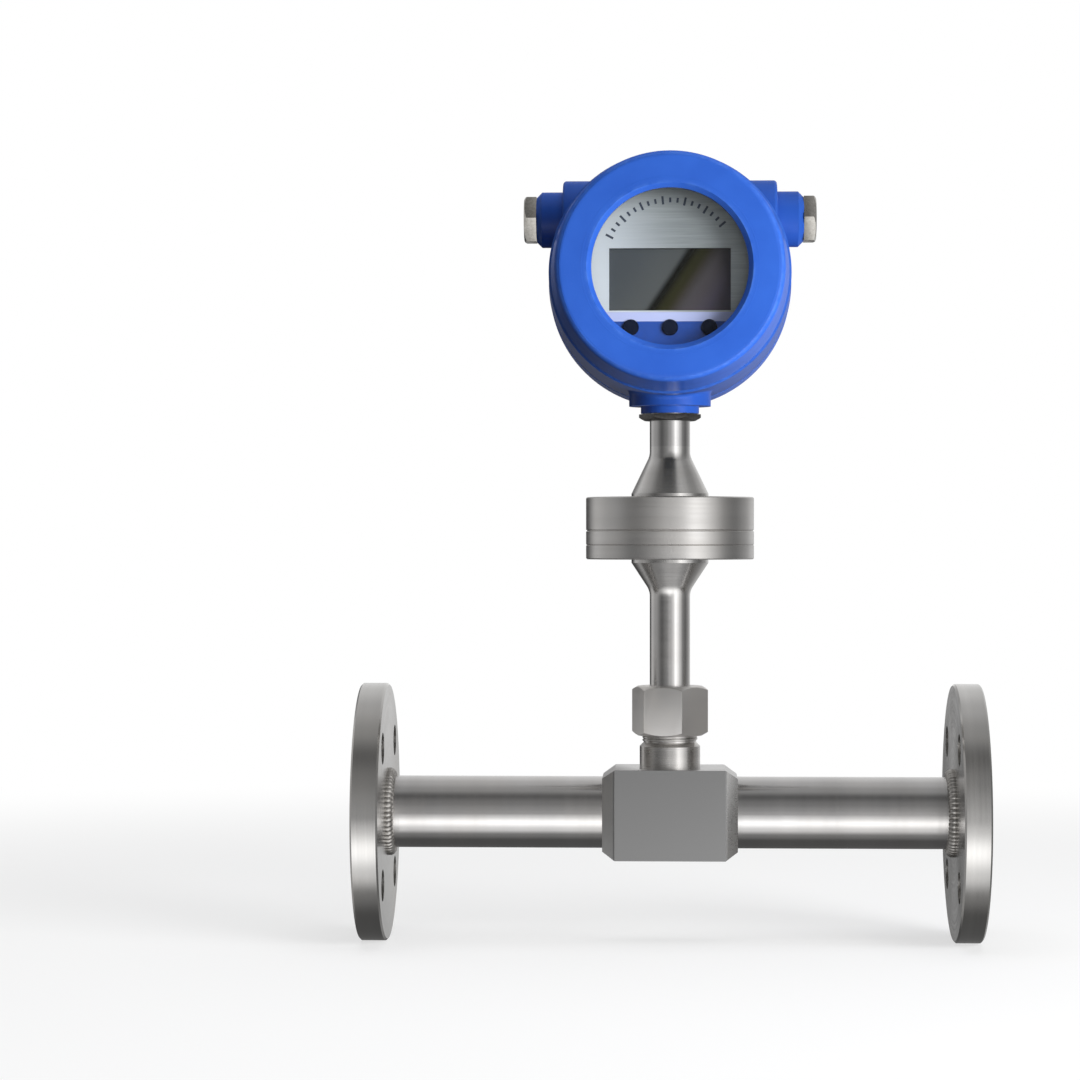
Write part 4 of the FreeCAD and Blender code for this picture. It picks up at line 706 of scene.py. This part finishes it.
def breakEdges(name, node, body, width, finish, slot):
    rough = weldedCopy(node, name + "Rough", edgeLook["flat"])
    bevel = rough.modifiers.new("brokenEdge", "BEVEL")
    bevel.width = width * mm
    bevel.segments = edgeLook["segments"]
    bevel.limit_method = "ANGLE"
    bevel.angle_limit = math.radians(edgeLook["sharp"])
    bevel.harden_normals = True
    rough.data.shade_smooth()
    addPiece(name, plainMesh(rough), finish, body, node)


for softName, edge in brokenEdges.items():
    breakEdges(softName, **edge)


# geometry node pieces

def newShapeTree(name, inputs):
    return newTree(name, "Geometry", dict(inputs, Material="Material"), dict(Geometry="Geometry"))


def finishTree(tree, geometry, given, result, **pose):
    # stands the shape in its place, then makes it real and gives it its material
    stood = put(tree, "GeometryNodeTransform", {"Geometry": geometry, **pose})
    real = put(tree, "GeometryNodeRealizeInstances", {"Geometry": stood.outputs[0]})
    coated = put(tree, "GeometryNodeSetMaterial", {
        "Geometry": real.outputs[0], "Material": given["Material"]})
    feed(tree, result["Geometry"], coated.outputs[0])


def growMesh(name, tree, finish, values):
    # runs the tree once on an empty mesh
    carrier = addObject(name + "Carrier", bpy.data.meshes.new(name + "Carrier"))
    modifier = carrier.modifiers.new(name, "NODES")
    modifier.node_group = tree
    sockets = [item for item in tree.interface.items_tree if item.in_out == "INPUT"]
    identifiers = {socket.name: socket.identifier for socket in sockets}
    for label, value in dict(values, Material=materials[finish]).items():
        modifier[identifiers[label]] = value
    return plainMesh(carrier)


# weld beads: one row of overlapping ripples for each ring of weld, each squeezed between least and most
weldLook = dict(segments=10, bands=7, least=(0.93, 0.62, 0.93), most=(1.03, 0.78, 1.03))
weldRings = {
    # ring radius, station along the pipe, bead radius, ripples in the ring
    "inletOuter": dict(radius=16.9, station=14.7, bead=2.75, ripples=52),
    "outletOuter": dict(radius=16.9, station=265.3, bead=2.75, ripples=52),
    "inletInner": dict(radius=15.9, station=4.3, bead=1.75, ripples=64),
    "outletInner": dict(radius=15.9, station=275.7, bead=1.75, ripples=64),
}


def makeWeldTree(look):
    tree, given, result = newShapeTree("weldRipples", dict(
        Radius="Float", Station="Float", Bead="Float", Ripples="Int", Seed="Int"))
    ring = put(tree, "GeometryNodeMeshCircle", {"Vertices": given["Ripples"], "Radius": given["Radius"]})
    ripple = put(tree, "GeometryNodeMeshUVSphere", {
        "Segments": look["segments"], "Rings": look["bands"], "Radius": given["Bead"]})
    spot = put(tree, "GeometryNodeInputPosition").outputs[0]
    aim = put(tree, "FunctionNodeAlignRotationToVector", {"Vector": spot}, axis="X")
    squeeze = put(tree, "FunctionNodeRandomValue", {
        "Min": look["least"], "Max": look["most"], "Seed": given["Seed"]}, data_type="FLOAT_VECTOR")
    laid = put(tree, "GeometryNodeInstanceOnPoints", {
        "Points": ring.outputs["Mesh"], "Instance": ripple.outputs["Mesh"], "Rotation": aim.outputs[0],
        "Scale": squeeze.outputs[0]})
    offset = put(tree, "ShaderNodeCombineXYZ", {"X": given["Station"]}).outputs[0]
    finishTree(tree, laid.outputs[0], given, result, Translation=offset, Rotation=(0.0, quarterTurn, 0.0))
    return tree


weldTree = makeWeldTree(weldLook)
weldMeshes = []
for seed, (ringName, ring) in enumerate(weldRings.items(), start=1):
    weldMeshes.append(growMesh(ringName, weldTree, "weldMetal", {
        "Radius": ring["radius"] * mm, "Station": ring["station"] * mm, "Bead": ring["bead"] * mm,
        "Ripples": ring["ripples"], "Seed": seed}))
addPiece("weldBeads", joinMeshes("weldBeads", weldMeshes), "weldMetal", "flow_tube_body",
         "flange_welds")


# screw threads: a tooth that follows a right-handed helix and starts small

def makeThreadTree(startSize=0.05):
    tree, given, result = newShapeTree("threadTurns", {
        "Radius": "Float", "Tooth": "Float", "Corners": "Int", "Height": "Float", "Turns": "Float",
        "Steps": "Int", "Run In": "Float", "Place": "Vector", "Aim": "Vector"})
    helix = put(tree, "GeometryNodeCurveSpiral", {
        "Resolution": given["Steps"], "Rotations": given["Turns"], "Start Radius": given["Radius"],
        "End Radius": given["Radius"], "Height": given["Height"], "Reverse": True})
    level = put(tree, "GeometryNodeSetCurveNormal", {"Curve": helix.outputs[0]}, mode="Z_UP")
    tooth = put(tree, "GeometryNodeCurvePrimitiveCircle", {
        "Resolution": given["Corners"], "Radius": given["Tooth"]})
    inwards = put(tree, "GeometryNodeTransform", {
        "Geometry": tooth.outputs[0], "Rotation": (0.0, 0.0, math.pi)})
    along = put(tree, "GeometryNodeSplineParameter").outputs["Factor"]
    growth = put(tree, "ShaderNodeMapRange", {
        "Value": along, "From Max": given["Run In"], "To Min": startSize})
    turns = put(tree, "GeometryNodeCurveToMesh", {
        "Curve": level.outputs[0], "Profile Curve": inwards.outputs[0], "Scale": growth.outputs[0],
        "Fill Caps": True})
    finishTree(tree, turns.outputs[0], given, result, Translation=given["Place"], Rotation=given["Aim"])
    return tree


threadTree = makeThreadTree()


def growThread(name, look, finish, radius, length, foot, aim):
    mesh = growMesh(name, threadTree, finish, {
        "Radius": radius * mm, "Tooth": look["tooth"] * mm, "Corners": look["corners"], "Height": length * mm,
        "Turns": length / look["pitch"], "Steps": look["steps"], "Run In": look["runIn"], "Place": foot,
        "Aim": aim})
    return joinMeshes(name, [mesh])


# the turns that show between the fitting body and its nut
stubThread = dict(radius=11.75, tooth=0.62, corners=6, pitch=1.3, foot=31.75, turns=2.0, steps=72, runIn=0.1)

stubTurns = growThread("stubThread", stubThread, "fittingSteel", stubThread["radius"],
                       stubThread["pitch"] * stubThread["turns"],
                       foot=(stemCentre[0], 0.0, stubThread["foot"] * mm), aim=(0.0, 0.0, 0.0))
addPiece("stubThread", stubTurns, "fittingSteel", "flow_tube_body")

# the turns cut into both necks of the housing, which show when a cover is screwed off
neckThread = dict(
    tooth=1.0, corners=3, depth=1.3, pitch=2.0, steps=96, runIn=0.03, sharp=28.0, skin=0.02, necks={
        # neck radius, first turn and open end along the head's axis
        "front": dict(radius=47.5, start=-31.4, end=-44.0),
        "rear": dict(radius=50.0, start=35.4, end=47.0)})


def makeCutter(name, look, finish, radius, start, end):
    side = 1.0 if end < start else -1.0
    mesh = growThread(name, look, finish, radius - look["depth"] + look["tooth"], abs(end - start),
                      foot=(headCentre[0], start * mm, headCentre[2]), aim=(side * quarterTurn, 0.0, 0.0))
    return addObject(name, mesh)


def keepNormals(mesh, source, reach, sameWay=0.9):
    # faces of the old surface take its normals, and those further from it than reach keep their own
    surface = BVHTree.FromPolygons([v.co for v in source.vertices],
                                   [tuple(p.vertices) for p in source.polygons])
    normals = []
    for face in mesh.polygons:
        facing, index, distance = surface.find_nearest(face.center)[1:]
        if distance > reach or face.normal.dot(facing) < sameWay:
            normals.extend([Vector()] * face.loop_total)
            continue
        old = source.polygons[index]
        corners = [source.vertices[v].co for v in old.vertices]
        facings = [source.corner_normals[loop].vector for loop in old.loop_indices]
        for v in face.vertices:
            shares = poly_3d_calc(corners, mesh.vertices[v].co)
            normals.append(sum((n * share for n, share in zip(facings, shares)), Vector()))
    mesh.normals_split_custom_set(normals)


def cutThreads(name, look, node, body, finish):
    blank = weldedCopy(node, name + "Blank")
    cutters = [makeCutter(neckName, look, finish, **neck) for neckName, neck in look["necks"].items()]
    for cutter in cutters:
        cut = blank.modifiers.new(cutter.name, "BOOLEAN")
        cut.operation = "DIFFERENCE"
        cut.solver = "EXACT"
        cut.object = cutter
    mesh = plainMesh(blank)
    for cutter in cutters:
        bpy.data.objects.remove(cutter)
    mesh.shade_smooth()
    mesh.set_sharp_from_angle(angle=math.radians(look["sharp"]))
    keepNormals(mesh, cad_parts[node].data, look["skin"] * mm)
    piece = addPiece(name, mesh, finish, body, node)
    piece.visible_glossy = False
    return piece


threadedHousing = cutThreads("threadedHousing", neckThread, node="housing", body="head_body",
                             finish="housingPaint")

# printed arc of plain scale marks above the display
scaleArc = dict(radius=29.6, startTurn=40.0, sweep=112.0, marks=19, longEvery=3, long=3.6, short=2.1,
                width=0.95, thick=0.06, front=-43.7)


def makeScaleTree():
    tree, given, result = newShapeTree("scaleMarks", {
        "Radius": "Float", "Start": "Float", "Sweep": "Float", "Marks": "Int", "Long Every": "Int",
        "Size": "Vector", "Long": "Float", "Place": "Vector"})
    arc = put(tree, "GeometryNodeCurveArc", {
        "Resolution": given["Marks"], "Radius": given["Radius"], "Start Angle": given["Start"],
        "Sweep Angle": given["Sweep"]})
    points = put(tree, "GeometryNodeCurveToPoints", {
        "Curve": arc.outputs[0], "Count": given["Marks"]}, mode="COUNT")
    mark = put(tree, "GeometryNodeMeshCube", {"Size": given["Size"]})
    spot = put(tree, "GeometryNodeInputPosition").outputs[0]
    aim = put(tree, "FunctionNodeAlignRotationToVector", {"Vector": spot}, axis="X")
    order = put(tree, "GeometryNodeInputIndex").outputs[0]
    over = calc(tree, "MODULO", order, given["Long Every"])
    isLong = calc(tree, "LESS_THAN", over, 0.5)   # none left over
    stretch = put(tree, "ShaderNodeMapRange", {"Value": isLong, "To Min": 1.0, "To Max": given["Long"]})
    size = put(tree, "ShaderNodeCombineXYZ", {"X": stretch.outputs[0], "Y": 1.0, "Z": 1.0})
    laid = put(tree, "GeometryNodeInstanceOnPoints", {
        "Points": points.outputs[0], "Instance": mark.outputs[0], "Rotation": aim.outputs[0],
        "Scale": size.outputs[0]})
    finishTree(tree, laid.outputs[0], given, result, Translation=given["Place"],
               Rotation=(quarterTurn, 0.0, 0.0))
    return tree


scaleMesh = growMesh("scaleMarks", makeScaleTree(), "scalePrint", {
    "Radius": scaleArc["radius"] * mm, "Start": math.radians(scaleArc["startTurn"]),
    "Sweep": math.radians(scaleArc["sweep"]), "Marks": scaleArc["marks"], "Long Every": scaleArc["longEvery"],
    "Size": (scaleArc["short"] * mm, scaleArc["width"] * mm, scaleArc["thick"] * mm),
    "Long": scaleArc["long"] / scaleArc["short"],
    "Place": (headCentre[0], scaleArc["front"] * mm, headCentre[2])})
addPiece("scaleMarks", joinMeshes("scaleMarks", [scaleMesh], smooth=False), "scalePrint", "head_body")


# studio: a pale floor, soft light and the camera of the photograph

floorLook = dict(level=-57.5, radius=4.0, sides=96, shade=(0.93, 0.935, 0.94), fibre=900.0, fibreDull=0.985,
                 rough=0.9, glow=0.6, fadeFrom=0.35, fadeTo=0.95)


def makeFloor(look):
    mesh = bpy.data.meshes.new("studioFloor")
    shape = bmesh.new()
    middle = Vector((stemCentre[0], 0.0, look["level"] * mm))
    bmesh.ops.create_circle(shape, cap_ends=True, segments=look["sides"], radius=look["radius"],
                            matrix=Matrix.Translation(middle))
    shape.to_mesh(mesh)
    shape.free()
    floor = addObject("studioFloor", mesh)
    floor.visible_glossy = False
    floor.visible_diffuse = False
    material, tree, shader, coords = newMaterial("floorPaper", **{"Roughness": look["rough"]})
    fibre = noise(tree, coords, look["fibre"], detail=2.0)
    paper = blendColours(tree, fibre, rgba(scaled(look["shade"], look["fibreDull"])), rgba(look["shade"]))
    feed(tree, shader.inputs["Base Color"], paper)
    # lit from below, and more so further out
    away = radiusOf(tree, centredOn(tree, coords, stemCentre))[1]
    fade = remap(tree, away, look["fadeFrom"], look["fadeTo"], look["glow"], 1.0, smooth=True)
    glow = put(tree, "ShaderNodeEmission", {"Color": white, "Strength": 1.0})
    mixed = put(tree, "ShaderNodeMixShader", {0: fade, 1: shader.outputs[0], 2: glow.outputs[0]})
    feed(tree, tree.nodes["Material Output"].inputs[0], mixed.outputs[0])
    mesh.materials.append(material)


makeFloor(floorLook)

# what the steel mirrors: brightness by angle round the stem, right of the camera's side being positive, and
# over the pipe; the lamps do most of the rest, on the paint and the floor
mirrored = dict(
    roundStem={-180: 0.62, -174: 0.45, -169: 0.06, -150: 0.04, -138: 0.25, -126: 0.62, -89: 0.42, -47: 0.13,
               -20: 0.24, 0: 0.44, 20: 0.95, 32: 1.85, 45: 1.4, 60: 0.79, 80: 0.27, 99: 0.17, 125: 0.36,
               150: 0.7, 180: 0.78},
    overPipe={-180: 0.45, -174: 0.22, -163: 0.11, -130: 0.10, -99: 0.10, -74: 0.25, -52: 1.0, -30: 1.9,
              -9: 0.95, 0: 0.52, 11: 0.36, 32: 0.24, 55: 0.13, 80: 0.37, 110: 0.56, 140: 0.75, 168: 0.85,
              180: 1.2},
    brightest=2.0, onPaint=0.28, seam=0.0005)


def brightnessOf(tree, angle, stops):
    turned = {}
    for degrees, bright in stops.items():
        turned[(degrees + 180) / 360] = (bright / mirrored["brightest"],) * 3
    return makeRamp(tree, remap(tree, angle, -math.pi, math.pi), turned)


def makeWorld(look):
    world = bpy.data.worlds.new("studioLight")
    scene.world = world
    world.use_nodes = True
    tree = world.node_tree
    tree.nodes.clear()
    right, back, up = splitUp(tree, put(tree, "ShaderNodeTexCoord").outputs["Generated"])
    forward = times(tree, back, -1.0)
    stemTone = brightnessOf(tree, calc(tree, "ARCTAN2", right, forward), look["roundStem"])
    pipeTone = brightnessOf(tree, calc(tree, "ARCTAN2", up, forward), look["overPipe"])
    upright = times(tree, up, up)
    sideways = times(tree, right, right)
    share = calc(tree, "DIVIDE", upright, plus(tree, plus(tree, upright, sideways), look["seam"]))
    path = put(tree, "ShaderNodeLightPath").outputs
    full = look["brightest"]
    strength = remap(tree, path["Is Diffuse Ray"], 0.0, 1.0, full, full * look["onPaint"])
    lit = put(tree, "ShaderNodeBackground", {
        "Color": blendColours(tree, share, stemTone, pipeTone), "Strength": strength})
    backdrop = put(tree, "ShaderNodeBackground", {"Color": white, "Strength": 1.0})
    mixed = put(tree, "ShaderNodeMixShader", {
        0: path["Is Camera Ray"], 1: lit.outputs[0], 2: backdrop.outputs[0]})
    feed(tree, put(tree, "ShaderNodeOutputWorld").inputs[0], mixed.outputs[0])


makeWorld(mirrored)

paintedPieces = [threadedHousing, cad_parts["front_cover"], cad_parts["rear_cover"]]
softLights = {
    # place, point it looks at, width, watts, and whether it leaves out the paint or lights it alone
    "topLight": dict(spot=(0.14, -0.1, 1.5), aim=(0.14, 0.0, 0.0), width=1.6, watts=16.0),
    "keyLight": dict(spot=(1.2, -1.05, 0.40), aim=(0.14, 0.0, 0.15), width=0.9, watts=30.0, paint="EXCLUDE"),
    "paintKey": dict(spot=(0.92, -0.70, 0.04), aim=(0.14, 0.0, 0.22), width=0.6, watts=15.6, paint="INCLUDE"),
    "bounceLight": dict(spot=(0.38, -0.26, -0.05), aim=(0.14, 0.0, 0.22), width=0.3, watts=1.7,
                        paint="INCLUDE"),
    "rearFill": dict(spot=(-0.1, 1.2, 0.6), aim=(0.14, 0.0, 0.24), width=0.8, watts=10.0, paint="INCLUDE"),
}


def makeLight(name, spot, aim, width, watts, paint=None):
    lamp = bpy.data.lights.new(name, "AREA")
    lamp.shape = "SQUARE"
    lamp.size = width
    lamp.energy = watts
    holder = addObject(name, lamp)
    holder.location = spot
    holder.rotation_euler = (Vector(aim) - Vector(spot)).to_track_quat("-Z", "Y").to_euler()
    holder.visible_glossy = False   # the steel mirrors the world only
    holder.visible_camera = False
    if paint:
        reach = bpy.data.collections.new(name + "Reach")
        for piece in paintedPieces:
            reach.objects.link(piece)
        for member in reach.collection_objects:
            member.light_linking.link_state = paint
        holder.light_linking.receiver_collection = reach


for lightName, light in softLights.items():
    makeLight(lightName, **light)

cameraLook = dict(spot=(0.140, -1.399, 0.1217), yaw=2.38, lens=104.2, sensor=36.0)
cameraData = bpy.data.cameras.new("photoView")
cameraData.lens = cameraLook["lens"]
cameraData.sensor_width = cameraLook["sensor"]
camera = addObject("photoView", cameraData)
camera.location = cameraLook["spot"]
camera.rotation_euler = (quarterTurn, 0.0, math.radians(cameraLook["yaw"]))
scene.camera = camera
scene.view_settings.view_transform = "Standard"
print("studio ready")
